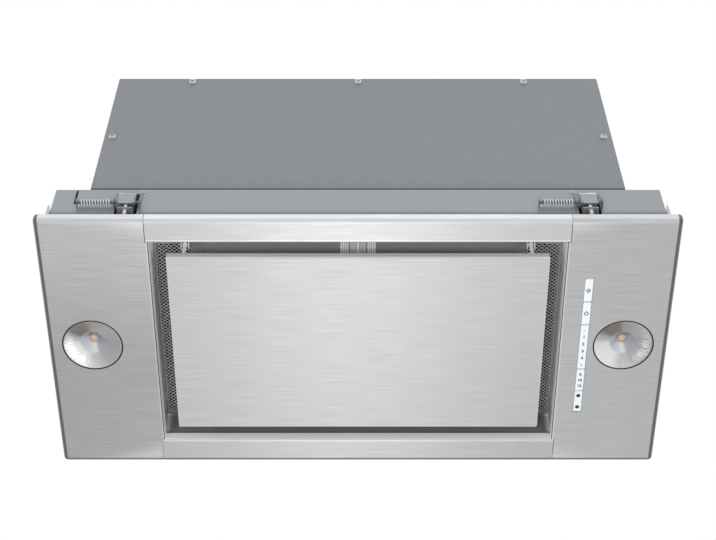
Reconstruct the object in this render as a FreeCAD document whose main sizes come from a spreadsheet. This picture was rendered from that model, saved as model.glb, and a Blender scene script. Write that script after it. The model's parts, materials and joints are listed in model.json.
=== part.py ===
import FreeCAD, Part
import Sketcher
import math
import os
import re

# Built-in range hood. The origin is the middle of the trim's underside.
# X runs along the trim, Y from the front to the rear, Z up. All sizes are in millimetres.

os.makedirs("parts", exist_ok=True)
doc = FreeCAD.newDocument("RangeHood")
sheet = doc.addObject("Spreadsheet::Sheet", "Sizes")
names = []
nodes = {}
Vector = FreeCAD.Vector


def sizes(values):
    """Write each driving dimension to a row of its own."""
    for name, value in values.items():
        names.append(name)
        row = len(names)
        sheet.set(f"A{row}", name)
        sheet.set(f"B{row}", str(value))
        sheet.setAlias(f"B{row}", name)
    sheet.recompute()


worked_out = {}


def follows(values):
    """Sizes that are worked out, each written as an expression in other sizes."""
    worked_out.update(values)


def bound(text):
    """An expression in which each size is read from the sheet."""
    def read(found):
        word = found.group(0)
        if word in worked_out:
            return "(" + bound(worked_out[word]) + ")"
        return "Sizes." + word if word in names else word

    return re.sub(r"[A-Za-z_]\w*", read, text)


def value(text):
    return float(sheet.evalExpression(bound(text)))


def bind(thing, **texts):
    for name, text in texts.items():
        thing.setExpression(name, bound(text))


def place(thing, x="0", y="0", z="0"):
    """Bind the place of a primitive or a boolean."""
    for axis, text in zip("xyz", (x, y, z)):
        thing.setExpression(f"Placement.Base.{axis}", bound(text))


def side(sign, low, high):
    """A stretch on the right of the middle, or its mirror image on the left."""
    if sign > 0:
        return low, high
    return f"-({high})", f"-({low})"


# Primitives and booleans

def box(name, x, y, z):
    thing = doc.addObject("Part::Box", name)
    bind(thing, Length=f"({x[1]})-({x[0]})", Width=f"({y[1]})-({y[0]})", Height=f"({z[1]})-({z[0]})")
    place(thing, x[0], y[0], z[0])
    return thing


TURNS = {"x": (Vector(0, 1, 0), 90), "y": (Vector(1, 0, 0), -90), "z": (Vector(0, 0, 1), 0)}


def rod(name, radius, length, x, y, z, axis="z"):
    thing = doc.addObject("Part::Cylinder", name)
    bind(thing, Radius=radius, Height=length)
    thing.Placement = FreeCAD.Placement(Vector(), FreeCAD.Rotation(*TURNS[axis]))
    place(thing, x, y, z)
    return thing


def ball(name, radius, x, y, z):
    thing = doc.addObject("Part::Sphere", name)
    bind(thing, Radius=radius)
    place(thing, x, y, z)
    return thing


def cut(name, base, *tools):
    thing = doc.addObject("Part::Cut", name)
    thing.Base = base
    thing.Tool = tools[0] if len(tools) == 1 else fuse(name + "_tools", *tools)
    return thing


def fuse(name, *pieces):
    thing = doc.addObject("Part::MultiFuse", name)
    thing.Shapes = list(pieces)
    return thing


def group(name, *pieces):
    thing = doc.addObject("Part::Compound", name)
    thing.Links = list(pieces)
    return thing


def made(name, shape):
    """A piece whose shape is worked out here from the sheet's sizes."""
    thing = doc.addObject("Part::Feature", name)
    thing.Shape = shape
    return thing


def node(name, thing):
    thing.Label = name
    nodes[name] = thing
    return thing


# Bodies with sketches

def sketch(body, name, loops, level="0", plane="XY"):
    """Closed outlines on an origin plane of the body. A loop is a list of points or (x, y, radius)."""
    drawing = body.newObject("Sketcher::SketchObject", name)
    base = [p for p in body.Origin.OriginFeatures if p.Role == plane + "_Plane"][0]
    drawing.AttachmentSupport = [(base, "")]
    drawing.MapMode = "FlatFace"
    drawing.setExpression("AttachmentOffset.Base.z", bound(level))
    for loop in loops:
        first = drawing.GeometryCount
        if isinstance(loop, tuple):
            centre = Vector(value(loop[0]), value(loop[1]), 0)
            drawing.addGeometry(Part.Circle(centre, Vector(0, 0, 1), value(loop[2])), False)
            pairs = [("DistanceX", first, 3, centre.x, loop[0]), ("DistanceY", first, 3, centre.y, loop[1])]
            ring = drawing.addConstraint(Sketcher.Constraint("Radius", first, value(loop[2])))
            drawing.setExpression(f"Constraints[{ring}]", bound(loop[2]))
        else:
            corners = [Vector(value(x), value(y), 0) for x, y in loop]
            count = len(corners)
            for i in range(count):
                drawing.addGeometry(Part.LineSegment(corners[i], corners[(i + 1) % count]), False)
            for i in range(count):
                near, far = first + i, first + (i + 1) % count
                drawing.addConstraint(Sketcher.Constraint("Coincident", near, 2, far, 1))
            pairs = []
            for i, (x, y) in enumerate(loop):
                pairs.append(("DistanceX", first + i, 1, corners[i].x, x))
                pairs.append(("DistanceY", first + i, 1, corners[i].y, y))
        for kind, geometry, point, number, text in pairs:
            index = drawing.addConstraint(Sketcher.Constraint(kind, geometry, point, number))
            drawing.setExpression(f"Constraints[{index}]", bound(text))
    drawing.recompute()
    return drawing


def rectangle(x, y):
    return [(x[0], y[0]), (x[1], y[0]), (x[1], y[1]), (x[0], y[1])]


def pad(body, name, loops, low, high, plane="XY"):
    feature = body.newObject("PartDesign::Pad", name)
    feature.Profile = sketch(body, name + "_sketch", loops, low, plane)
    bind(feature, Length=f"({high})-({low})")
    feature.recompute()
    return feature


def pocket(body, name, loops, low, high, plane="XY"):
    """A cut from low up to high. The volume has to drop."""
    before = body.Tip.Shape.Volume
    feature = body.newObject("PartDesign::Pocket", name)
    feature.Profile = sketch(body, name + "_sketch", loops, low, plane)
    feature.Reversed = True
    bind(feature, Length=f"({high})-({low})")
    feature.recompute()
    if not feature.Shape.Volume < before:
        raise ValueError(f"{name} cuts nothing")
    return feature


def turned(name, points, plane="XZ"):
    """A body turned about Z from a closed half outline (radius, height)."""
    body = doc.addObject("PartDesign::Body", name)
    feature = body.newObject("PartDesign::Revolution", name + "_turn")
    feature.Profile = sketch(body, name + "_sketch", [points], "0", plane)
    feature.ReferenceAxis = (feature.Profile[0], ["V_Axis"])
    feature.Angle = 360
    feature.recompute()
    return body


def body(name):
    return doc.addObject("PartDesign::Body", name)


def slab(name, loops, low, high, plane="XY"):
    thing = body(name)
    pad(thing, name + "_pad", loops, low, high, plane)
    return thing


def rounded(thing, name, radius, test):
    """Round the edges of the body's tip for which test(edge) holds."""
    tip = thing.Tip
    chosen = [f"Edge{i + 1}" for i, edge in enumerate(tip.Shape.Edges) if test(edge)]
    feature = thing.newObject("PartDesign::Fillet", name)
    feature.Base = (tip, chosen)
    bind(feature, Radius=radius)
    feature.recompute()
    return feature


def hollowed(thing, name, wall, test):
    """Turn a solid body into sheet, open at the faces for which test(face) holds."""
    tip = thing.Tip
    chosen = [f"Face{i + 1}" for i, face in enumerate(tip.Shape.Faces) if test(face)]
    feature = thing.newObject("PartDesign::Thickness", name)
    feature.Base = (tip, chosen)
    feature.Reversed = True
    bind(feature, Value=wall)
    feature.recompute()
    return feature


NEAR = 1e-4


def flat_at(shape, axis, where):
    """Whether an edge or a face lies in the plane where axis = where."""
    low, high = (getattr(shape.BoundBox, axis + end) for end in ("Min", "Max"))
    return abs(low - where) < NEAR and abs(high - where) < NEAR


def upright(edge):
    return edge.BoundBox.XLength < NEAR and edge.BoundBox.YLength < NEAR


# Trim: four folded trays of brushed sheet around the opening

TRIM_SIZES = {
    "trim_width": 580,
    "trim_depth": 286,
    "end_panel_width": 101.5,
    "rail_depth": 28,
    "front_short": 3,
    "seam_step": 3,
    "sheet": 1,
    "skirt_height": 8,
    "lip_height": 12,
    "bend_radius": 4,
    "lip_bend_radius": 1.6,
    "side_seat": 14,
    "front_seat": 18,
    "seam_gap": 0.5,
    "gap": 0.3,
    "cut_over": 1,
    "seat_drop": 0.5,
    "casing_inset_x": 12,
    "casing_inset_y": 8,
    "foot_depth": 10,
}
sizes(TRIM_SIZES)
follows({
    "opening_width": "trim_width-2*end_panel_width",
    "opening_depth": "trim_depth-2*rail_depth",
    "casing_width": "trim_width-2*casing_inset_x",
    "casing_depth": "trim_depth-2*casing_inset_y",
})
SEAT_Z = "(skirt_height-seat_drop)"
HALF_W = "trim_width/2"
FRONT_D = "(trim_depth/2-front_short)"
REAR_D = "trim_depth/2"
OPEN_X = "opening_width/2"
OPEN_Y = "opening_depth/2"
SEAM_X = "(opening_width/2+seam_step)"
SEAM_WAY = f"({OPEN_Y}+sheet)"


def trim_screw_places():
    for sign_x in (-1, 1):
        for reach in ("trim_screw_inner_x", "trim_screw_outer_x"):
            for sign_y in (-1, 1):
                yield f"{sign_x}*{reach}", f"{sign_y}*(casing_depth/2-sheet-foot_depth/2)"


TRIM_HOLES_SIZES = {
    "trim_screw_inner": 38.5,
    "trim_screw_outer": 28,
    "trim_screw_radius": 2,
    "trim_screw_head": 4,
    "trim_screw_head_height": 2.4,
    "trim_screw_length": 9,
    "screw_hole": 0.15,
    "lamp_inset": 41.4,
    "lamp_radius": 28,
    "lamp_gap": 0.6,
    "key_offset": 22.55,
    "key_width": 7.5,
    "key_pitch": 26,
    "key_start": -75.8,
    "key_gap": 0.3,
    "key_count": 6,
}
sizes(TRIM_HOLES_SIZES)
follows({
    "trim_screw_inner_x": "opening_width/2-trim_screw_inner",
    "trim_screw_outer_x": "trim_width/2-trim_screw_outer",
    "lamp_x": "trim_width/2-lamp_inset",
    "key_x": "opening_width/2+key_offset",
})
KEY_END = "(key_start+key_pitch*key_count)"


for word, sign in (("left", -1), ("right", 1)):
    panel = body(f"end_panel_{word}")
    outline = [
        (f"{sign}*{HALF_W}", f"-{FRONT_D}"),
        (f"{sign}*{SEAM_X}", f"-{FRONT_D}"),
        (f"{sign}*{SEAM_X}", f"-{OPEN_Y}"),
        (f"{sign}*{OPEN_X}", f"-{OPEN_Y}"),
        (f"{sign}*{OPEN_X}", OPEN_Y),
        (f"{sign}*{SEAM_X}", OPEN_Y),
        (f"{sign}*{SEAM_X}", REAR_D),
        (f"{sign}*{HALF_W}", REAR_D),
    ]
    pad(panel, f"panel_{word}", [outline], "0", "skirt_height")
    outer = sign * value(HALF_W)
    front_end, rear_end = -value(FRONT_D), value(REAR_D)

    def outer_edge(edge):
        low = flat_at(edge, "Z", 0)
        far = flat_at(edge, "X", outer)
        end = flat_at(edge, "Y", front_end) or flat_at(edge, "Y", rear_end)
        return low and (far or end) or upright(edge) and far

    rounded(panel, f"panel_{word}_bend", "bend_radius", outer_edge)
    mouth = sign * value(OPEN_X)
    rounded(panel, f"panel_{word}_lip_bend", "lip_bend_radius",
            lambda e: flat_at(e, "Z", 0) and flat_at(e, "X", mouth))
    hollowed(panel, f"panel_{word}_sheet", "sheet", lambda f: flat_at(f, "Z", value("skirt_height")))
    lip = side(sign, OPEN_X, OPEN_X + "+sheet")
    pad(panel, f"panel_{word}_lip", [rectangle(lip, (f"-{OPEN_Y}", OPEN_Y))], "skirt_height", "lip_height")
    seat = [
        (f"{sign}*({HALF_W}-sheet)", f"-({FRONT_D}-bend_radius)"),
        (f"{sign}*({HALF_W}-bend_radius)", f"-({FRONT_D}-sheet)"),
        (f"{sign}*({SEAM_X}+sheet)", f"-({FRONT_D}-sheet)"),
        (f"{sign}*({SEAM_X}+sheet)", f"-({REAR_D}-front_seat)"),
        (f"{sign}*({HALF_W}-side_seat)", f"-({REAR_D}-front_seat)"),
        (f"{sign}*({HALF_W}-side_seat)", f"({REAR_D}-front_seat)"),
        (f"{sign}*({SEAM_X}+sheet)", f"({REAR_D}-front_seat)"),
        (f"{sign}*({SEAM_X}+sheet)", f"({REAR_D}-sheet)"),
        (f"{sign}*({HALF_W}-bend_radius)", f"({REAR_D}-sheet)"),
        (f"{sign}*({HALF_W}-sheet)", f"({REAR_D}-bend_radius)"),
    ]
    holes = [(x, y, "trim_screw_radius+screw_hole") for x, y in trim_screw_places()
             if value(x) * sign > value(SEAM_X)]
    pad(panel, f"panel_{word}_seat", [seat] + holes, SEAT_Z + "-sheet", SEAT_Z)
    lamp = (f"{sign}*lamp_x", "0", "lamp_radius+lamp_gap")
    windows = [lamp]
    if sign > 0:
        strip = ("key_x-key_width/2-key_gap", "key_x+key_width/2+key_gap")
        windows.append(rectangle(strip, ("key_start-key_gap", KEY_END + "+key_gap")))
    pocket(panel, f"panel_{word}_windows", windows, "-cut_over", "sheet+cut_over")
    ways = [rectangle(side(sign, SEAM_X + "-cut_over", SEAM_X + "+sheet"),
                      side(end, SEAM_WAY, end_d + "-sheet"))
            for end, end_d in ((-1, FRONT_D), (1, REAR_D))]
    pocket(panel, f"panel_{word}_foot_ways", ways, SEAT_Z, "skirt_height+cut_over")
    node(f"end_panel_{word}", panel)

for word, sign, end_d in (("front", -1, FRONT_D), ("rear", 1, REAR_D)):
    rail = body(f"{word}_rail")
    rail_x = (f"-({SEAM_X}-seam_gap)", f"{SEAM_X}-seam_gap")
    pad(rail, f"rail_{word}", [rectangle(rail_x, side(sign, OPEN_Y, end_d))], "0", "skirt_height")
    ends = sign * value(end_d)
    rounded(rail, f"rail_{word}_bend", "bend_radius", lambda e: flat_at(e, "Z", 0) and flat_at(e, "Y", ends))
    mouth = sign * value(OPEN_Y)
    rounded(rail, f"rail_{word}_lip_bend", "lip_bend_radius",
            lambda e: flat_at(e, "Z", 0) and flat_at(e, "Y", mouth))
    hollowed(rail, f"rail_{word}_sheet", "sheet", lambda f: flat_at(f, "Z", value("skirt_height")))
    lip = side(sign, OPEN_Y, OPEN_Y + "+sheet")
    pad(rail, f"rail_{word}_lip", [rectangle((f"-{OPEN_X}", OPEN_X), lip)], "skirt_height", "lip_height")
    seat = rectangle((f"-({SEAM_X}-sheet-seam_gap)", f"{SEAM_X}-sheet-seam_gap"),
                     side(sign, f"{REAR_D}-front_seat", f"{end_d}-sheet"))
    holes = [(x, y, "trim_screw_radius+screw_hole") for x, y in trim_screw_places()
             if abs(value(x)) < value(SEAM_X) and value(y) * sign > 0]
    pad(rail, f"rail_{word}_seat", [seat] + holes, SEAT_Z + "-sheet", SEAT_Z)
    ways = [rectangle(side(end, f"{SEAM_X}-seam_gap-sheet", f"{SEAM_X}-seam_gap+cut_over"),
                      side(sign, SEAM_WAY, end_d + "-sheet")) for end in (-1, 1)]
    pocket(rail, f"rail_{word}_foot_ways", ways, SEAT_Z, "skirt_height+cut_over")
    node(f"{word}_rail", rail)

# Lower casing: a folded box open at the bottom, standing on the seat flanges of the trim

CASING_SIZES = {
    "casing_top": 58,
    "casing_bend": 2,
    "air_hole_margin_x": 3.5,
    "air_hole_margin_y": 17,
    "seam_screw_out": 7.3,
    "seam_screw_z": 53.5,
    "seam_screw_radius": 1.2,
    "seam_screw_head": 2.1,
    "tab_slot_out": 69.7,
    "tab_slot_width": 2,
    "tab_slot_low": 33.5,
    "tab_slot_high": 56.5,
    "clamp_out": 20.5,
    "clamp_window_low": 9.5,
    "clamp_spring_slot": -10.4,
    "clamp_free_slot": 6.8,
    "clamp_slot_width": 3.1,
    "clamp_spring_slot_top": 29,
    "clamp_free_slot_top": 49,
    "clamp_screw_window": 6,
    "clamp_screw_window_top": 21.5,
}
sizes(CASING_SIZES)
follows({
    "air_hole_width": "opening_width-2*air_hole_margin_x",
    "air_hole_depth": "opening_depth-2*air_hole_margin_y",
    "seam_screw_x": "opening_width/2+seam_screw_out",
    "clamp_x": "opening_width/2+clamp_out",
})


def clamp_windows(middle):
    """Three openings behind a clamp: a slot on each side of its arm and a window behind its screw."""
    spring_slot, free_slot = f"{middle}+clamp_spring_slot", f"{middle}+clamp_free_slot"
    return [
        rectangle((spring_slot, spring_slot + "+clamp_slot_width"),
                  ("clamp_window_low", "clamp_spring_slot_top")),
        rectangle((free_slot, free_slot + "+clamp_slot_width"),
                  ("clamp_window_low", "clamp_free_slot_top")),
        rectangle((f"{middle}-clamp_screw_window", f"{middle}+clamp_screw_window-sheet/2"),
                  ("clamp_window_low", "clamp_screw_window_top")),
    ]


CASE_X = "casing_width/2"
CASE_Y = "casing_depth/2"
casing = body("lower_casing")
pad(casing, "casing", [rectangle((f"-{CASE_X}", CASE_X), (f"-{CASE_Y}", CASE_Y))], SEAT_Z, "casing_top")
rounded(casing, "casing_corners", "casing_bend", upright)
hollowed(casing, "casing_sheet", "sheet", lambda f: flat_at(f, "Z", value(SEAT_Z)))
for word, sign in (("front", -1), ("rear", 1)):
    foot = rectangle((f"-({CASE_X}-casing_bend-sheet)", f"{CASE_X}-casing_bend-sheet"),
                     side(sign, f"{CASE_Y}-sheet-foot_depth", f"{CASE_Y}-sheet"))
    holes = [(x, y, "trim_screw_radius+screw_hole") for x, y in trim_screw_places() if value(y) * sign > 0]
    pad(casing, f"casing_{word}_foot", [foot] + holes, SEAT_Z, SEAT_Z + "+sheet")
pocket(casing, "casing_air_hole",
       [rectangle(("-air_hole_width/2", "air_hole_width/2"), ("-air_hole_depth/2", "air_hole_depth/2"))],
       "casing_top-sheet-cut_over", "casing_top+cut_over")
pocket(casing, "casing_seam_holes",
       [(f"{sign}*seam_screw_x", "seam_screw_z", "seam_screw_radius+screw_hole") for sign in (-1, 1)],
       f"{CASE_Y}-sheet-cut_over", f"{CASE_Y}+cut_over", "XZ")
slot_left = "opening_width/2+tab_slot_out"
pocket(casing, "casing_tab_slot",
       [rectangle((f"-({slot_left})", f"-({slot_left}-tab_slot_width)"), ("tab_slot_low", "tab_slot_high"))],
       f"{CASE_Y}-sheet-cut_over", f"{CASE_Y}+cut_over", "XZ")
for word, face in (("front", -1), ("rear", 1)):
    windows = clamp_windows("-clamp_x") + clamp_windows("clamp_x")
    pocket(casing, f"casing_{word}_clamp_windows", windows,
           *side(-face, f"{CASE_Y}-sheet-cut_over", f"{CASE_Y}+cut_over"), "XZ")
node("lower_casing", casing)

screws = []
for index, (x, y) in enumerate(trim_screw_places()):
    head = rod(f"trim_screw_head_{index}", "trim_screw_head", "trim_screw_head_height", x, y,
               SEAT_Z + "+sheet")
    shank = rod(f"trim_screw_shank_{index}", "trim_screw_radius", "trim_screw_length", x, y,
                SEAT_Z + "+sheet+trim_screw_head_height-trim_screw_length")
    screws.append(fuse(f"trim_screw_{index}", head, shank))
node("trim_screws", group("trim_screws", *screws))

screws = []
for index, sign in enumerate((-1, 1)):
    head = rod(f"seam_screw_head_{index}", "seam_screw_head", "seam_screw_radius", f"{sign}*seam_screw_x",
               f"-{CASE_Y}-seam_screw_radius", "seam_screw_z", "y")
    shank = rod(f"seam_screw_shank_{index}", "seam_screw_radius", "foot_depth", f"{sign}*seam_screw_x",
                f"-{CASE_Y}-seam_screw_radius", "seam_screw_z", "y")
    screws.append(fuse(f"seam_screw_{index}", head, shank))
node("seam_screws", group("seam_screws", *screws))

# Intake frame: four walls between the lips and the casing's top plate, with a shelf at the front

INTAKE_SIZES = {
    "intake_wall": 1,
    "intake_flange": 8,
    "shelf_z": 38,
    "shelf_depth": 22,
    "upstand_top": 50,
    "ledge_depth": 3.7,
    "ledge_z": 36.7,
    "filter_bottom": 38,
    "filter_height": 10,
}
sizes(INTAKE_SIZES)
follows({"shelf_rear": "opening_depth/2-shelf_depth"})
IN_X = "(opening_width/2+sheet)"
IN_Y = "(opening_depth/2+sheet)"
UNDER_TOP = "(casing_top-sheet)"
intake = body("intake_frame")
outer = rectangle((f"-({IN_X}+intake_wall)", f"{IN_X}+intake_wall"),
                  (f"-({IN_Y}+intake_wall)", f"{IN_Y}+intake_wall"))
inner = rectangle((f"-{IN_X}", IN_X), (f"-{IN_Y}", IN_Y))
pad(intake, "intake_walls", [outer, inner], "skirt_height", UNDER_TOP)
flange = rectangle((f"-({IN_X}+intake_flange)", f"{IN_X}+intake_flange"),
                   (f"-({IN_Y}+intake_flange)", f"{IN_Y}+intake_flange"))
pad(intake, "intake_flange_ring", [flange, inner], UNDER_TOP + "-intake_wall", UNDER_TOP)
pad(intake, "intake_shelf", [rectangle((f"-{IN_X}", IN_X), (f"-{IN_Y}", "-shelf_rear"))],
    "shelf_z", "shelf_z+intake_wall")
pad(intake, "intake_upstand", [rectangle((f"-{IN_X}", IN_X), ("-(shelf_rear+intake_wall)", "-shelf_rear"))],
    "shelf_z", "upstand_top")
pad(intake, "intake_ledge", [rectangle((f"-{IN_X}", IN_X), (f"{IN_Y}-ledge_depth", IN_Y))],
    "ledge_z", "ledge_z+intake_wall")
node("intake_frame", intake)

# Bar between the two filters, with lengthwise ribs

CENTER_BAR_SIZES = {
    "bar_half": 7.9,
    "bar_thick": 2,
    "bar_rib": 1.2,
    "bar_rib_height": 1,
    "bar_rib_count": 4,
}
sizes(CENTER_BAR_SIZES)
bar = body("center_bar")
pad(bar, "bar_plate", [rectangle(("-bar_half", "bar_half"), ("-shelf_rear", IN_Y))],
    "filter_bottom+bar_rib_height", "filter_bottom+bar_rib_height+bar_thick")
ribs = []
for i in range(4):
    middle = f"bar_half*2*({i}+0.5)/bar_rib_count-bar_half"
    ribs.append(rectangle((f"{middle}-bar_rib/2", f"{middle}+bar_rib/2"),
                          ("-shelf_rear", f"{IN_Y}-ledge_depth")))
pad(bar, "bar_ribs", ribs, "filter_bottom", "filter_bottom+bar_rib_height")
node("center_bar", bar)

# Upper housing: five folded sheets open at the front, and the cover that is screwed on them

HOUSING_SIZES = {
    "housing_inset_x": 24.5,
    "housing_inset_y": 22,
    "housing_top": 321,
    "housing_flange": 12,
    "cover_inset": 0.6,
    "cover_screw_drop": 9.5,
    "cover_screw_low": 194.5,
    "cover_screw_side": 8.5,
    "cover_screw_end": 78.5,
    "cover_screw_radius": 2,
    "cover_screw_head": 4,
    "cover_screw_rise": 2.4,
    "cover_screw_length": 10,
    "notch_width": 7,
    "collar_radius": 75,
    "collar_wall": 1.2,
    "collar_height": 40,
}
sizes(HOUSING_SIZES)
follows({
    "housing_width": "casing_width-2*housing_inset_x",
    "housing_depth": "casing_depth-2*housing_inset_y",
    "cover_screw_row": "housing_width/2-cover_screw_end",
})
HOUSE_X = "housing_width/2"
HOUSE_Y = "housing_depth/2"
COVER_BACK = f"(-{HOUSE_Y}+sheet)"


def cover_screw_places():
    for count in (-1, 0, 1):
        yield f"{count}*cover_screw_row", "housing_top-cover_screw_drop"
    for sign in (-1, 1):
        yield f"{sign}*({HOUSE_X}-cover_screw_side)", "cover_screw_low"


GLAND_HOLE_SIZES = {"gland_end": 48.5, "gland_rear": 43, "gland_radius": 8}
sizes(GLAND_HOLE_SIZES)
follows({
    "gland_x": "housing_width/2-gland_end",
    "gland_y": "housing_depth/2-gland_rear",
})
UNDER_LID = "(housing_top-sheet)"
COVER_FLANGE = f"({COVER_BACK}+sheet)"
FLANGE_X = f"({HOUSE_X}-housing_flange)"
FLANGE_Y = f"({HOUSE_Y}-housing_flange)"
walls_z = ("casing_top", UNDER_LID)
foot_z = ("casing_top", "casing_top+sheet")
front_y = (COVER_BACK, COVER_FLANGE)
holes = [rod(f"cover_hole_{index}", "cover_screw_radius+screw_hole", "3*sheet", x, f"{COVER_BACK}-sheet", z,
             "y")
         for index, (x, z) in enumerate(cover_screw_places())]
lid = body("housing_lid")
pad(lid, "lid", [rectangle((f"-{HOUSE_X}", HOUSE_X), (COVER_BACK, HOUSE_Y))], UNDER_LID, "housing_top")
pocket(lid, "lid_outlet",
       [("0", "0", "collar_radius-collar_wall"), ("gland_x", "gland_y", "gland_radius+screw_hole")],
       UNDER_LID + "-cut_over", "housing_top+cut_over")
lid_flange = box("lid_flange", (f"-({HOUSE_X}-sheet)", f"{HOUSE_X}-sheet"), front_y,
                 (UNDER_LID + "-housing_flange", UNDER_LID))
walls = [cut("housing_top_sheet", fuse("housing_top_solid", lid, lid_flange), *holes[:3])]
back = box("housing_back", (f"-{HOUSE_X}", HOUSE_X), (f"{HOUSE_Y}-sheet", HOUSE_Y), walls_z)
back_foot = box("housing_back_foot", (f"-{FLANGE_X}", FLANGE_X), (FLANGE_Y, f"{HOUSE_Y}-sheet"), foot_z)
walls.append(fuse("housing_back_sheet", back, back_foot))
sill = box("housing_sill", (f"-({HOUSE_X}-sheet)", f"{HOUSE_X}-sheet"), front_y,
           ("casing_top", "casing_top+housing_flange"))
sill_foot = box("housing_sill_foot", (f"-{FLANGE_X}", FLANGE_X), (COVER_FLANGE, f"-{FLANGE_Y}"), foot_z)
walls.append(fuse("housing_sill_sheet", sill, sill_foot))
for index, sign in enumerate((-1, 1)):
    wall = box(f"housing_side_{index}", side(sign, f"{HOUSE_X}-sheet", HOUSE_X),
               (COVER_BACK, f"{HOUSE_Y}-sheet"), walls_z)
    flange = box(f"housing_side_flange_{index}", side(sign, FLANGE_X, f"{HOUSE_X}-sheet"), front_y,
                 ("casing_top+housing_flange", UNDER_LID + "-housing_flange"))
    foot = box(f"housing_side_foot_{index}", side(sign, FLANGE_X, f"{HOUSE_X}-sheet"),
               (COVER_FLANGE, f"{HOUSE_Y}-sheet"), foot_z)
    walls.append(cut(f"housing_side_sheet_{index}", fuse(f"housing_side_solid_{index}", wall, flange, foot),
                     holes[3 + index]))
node("housing_shell", group("housing_shell", *walls))

cover = body("housing_front_cover")
cover_x = (f"-({HOUSE_X}-cover_inset)", f"{HOUSE_X}-cover_inset")
cover_z = ("casing_top+cover_inset", "housing_top-cover_inset")
holes = [(x, z, "cover_screw_radius+screw_hole") for x, z in cover_screw_places()]
pad(cover, "cover", [rectangle(cover_x, cover_z)] + holes, f"{HOUSE_Y}-sheet", HOUSE_Y, "XZ")
notches = []
for count in (-1, 0, 1):
    notches.append(rectangle((f"{count}*cover_screw_row-notch_width/2",
                              f"{count}*cover_screw_row+notch_width/2"),
                             ("housing_top-cover_inset-sheet", "housing_top+cut_over")))
pocket(cover, "cover_notches", notches, f"{HOUSE_Y}-sheet-cut_over", f"{HOUSE_Y}+cut_over", "XZ")
node("housing_front_cover", cover)

screws = []
for index, (x, z) in enumerate(cover_screw_places()):
    head = rod(f"cover_screw_head_{index}", "cover_screw_head", "cover_screw_rise", x,
               f"-{HOUSE_Y}-cover_screw_rise", z, "y")
    shank = rod(f"cover_screw_shank_{index}", "cover_screw_radius", "cover_screw_length", x,
                f"-{HOUSE_Y}-cover_screw_rise", z, "y")
    screws.append(fuse(f"cover_screw_{index}", head, shank))
node("cover_screws", group("cover_screws", *screws))

# Exhaust collar with its two backdraft flaps on one rod

COLLAR_SIZES = {
    "collar_base_radius": 86,
    "collar_base_thick": 1,
    "flap_axis_rise": 14,
    "flap_rod_radius": 1.5,
    "flap_rod_short": 0.2,
    "flap_gap": 1.3,
    "flap_thick": 1.2,
    "flap_split": 3.3,
    "knuckle_radius": 3,
    "knuckle_bore": 0.08,
    "knuckle_length": 18,
    "knuckle_step": 20,
    "knuckle_first": 12,
}
sizes(COLLAR_SIZES)
follows({"flap_radius": "collar_radius-collar_wall-flap_gap"})
COLLAR_TOP = "(housing_top+collar_height)"
FLAP_Z = "(housing_top+flap_axis_rise)"
COLLAR_BASE = "(housing_top+collar_base_thick)"
collar_base = slab("collar_base", [("0", "0", "collar_base_radius"),
                                   ("0", "0", "collar_radius-collar_wall")],
                   "housing_top", COLLAR_BASE)
collar_tube = body("collar_tube")
pad(collar_tube, "collar_tube_pad", [("0", "0", "collar_radius"), ("0", "0", "collar_radius-collar_wall")],
    COLLAR_BASE, COLLAR_TOP)
pocket(collar_tube, "collar_rod_holes", [("0", FLAP_Z, "flap_rod_radius")], "-(collar_radius+cut_over)",
       "collar_radius+cut_over", "YZ")
node("exhaust_collar", group("exhaust_collar", collar_base, collar_tube))
node("flap_rod", rod("flap_rod", "flap_rod_radius", "2*(collar_radius-flap_rod_short)",
                     "-(collar_radius-flap_rod_short)", "0", FLAP_Z, "x"))
for word, sign in (("front", -1), ("rear", 1)):
    disc = rod(f"flap_{word}_disc", "flap_radius", "flap_thick", "0", "0", f"{FLAP_Z}-flap_thick/2")
    half = box(f"flap_{word}_half", ("-collar_radius", "collar_radius"),
               side(sign, "flap_split", "collar_radius"),
               (f"{FLAP_Z}-flap_thick", f"{FLAP_Z}+flap_thick"))
    leaf = doc.addObject("Part::Common", f"flap_{word}_leaf")
    leaf.Base = disc
    leaf.Tool = half
    pieces = [leaf]
    bores = []
    for index in (-1, 1):
        for turn in (0, 1):
            start = f"knuckle_first+knuckle_step*({2 * turn + (0 if sign < 0 else 1)})"
            if index > 0:
                x = (start, f"{start}+knuckle_length")
            else:
                x = (f"-({start}+knuckle_length)", f"-({start})")
            if turn == 1 and sign > 0:
                continue
            barrel = rod(f"flap_{word}_barrel_{index + 1}_{turn}", "knuckle_radius", "knuckle_length",
                         x[0], "0", FLAP_Z, "x")
            web = box(f"flap_{word}_web_{index + 1}_{turn}", x, side(sign, "0", "flap_split+flap_thick"),
                      (f"{FLAP_Z}-flap_thick/2", f"{FLAP_Z}+flap_thick/2"))
            pieces += [barrel, web]
    bore = rod(f"flap_{word}_bore", "flap_rod_radius+knuckle_bore", "2*collar_radius", "-collar_radius", "0",
               FLAP_Z, "x")
    node(f"flap_{word}", cut(f"flap_{word}", fuse(f"flap_{word}_solid", *pieces), bore))

# Fan: a scroll open at both ends, a double-inlet wheel, and a motor inside one inlet

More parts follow.
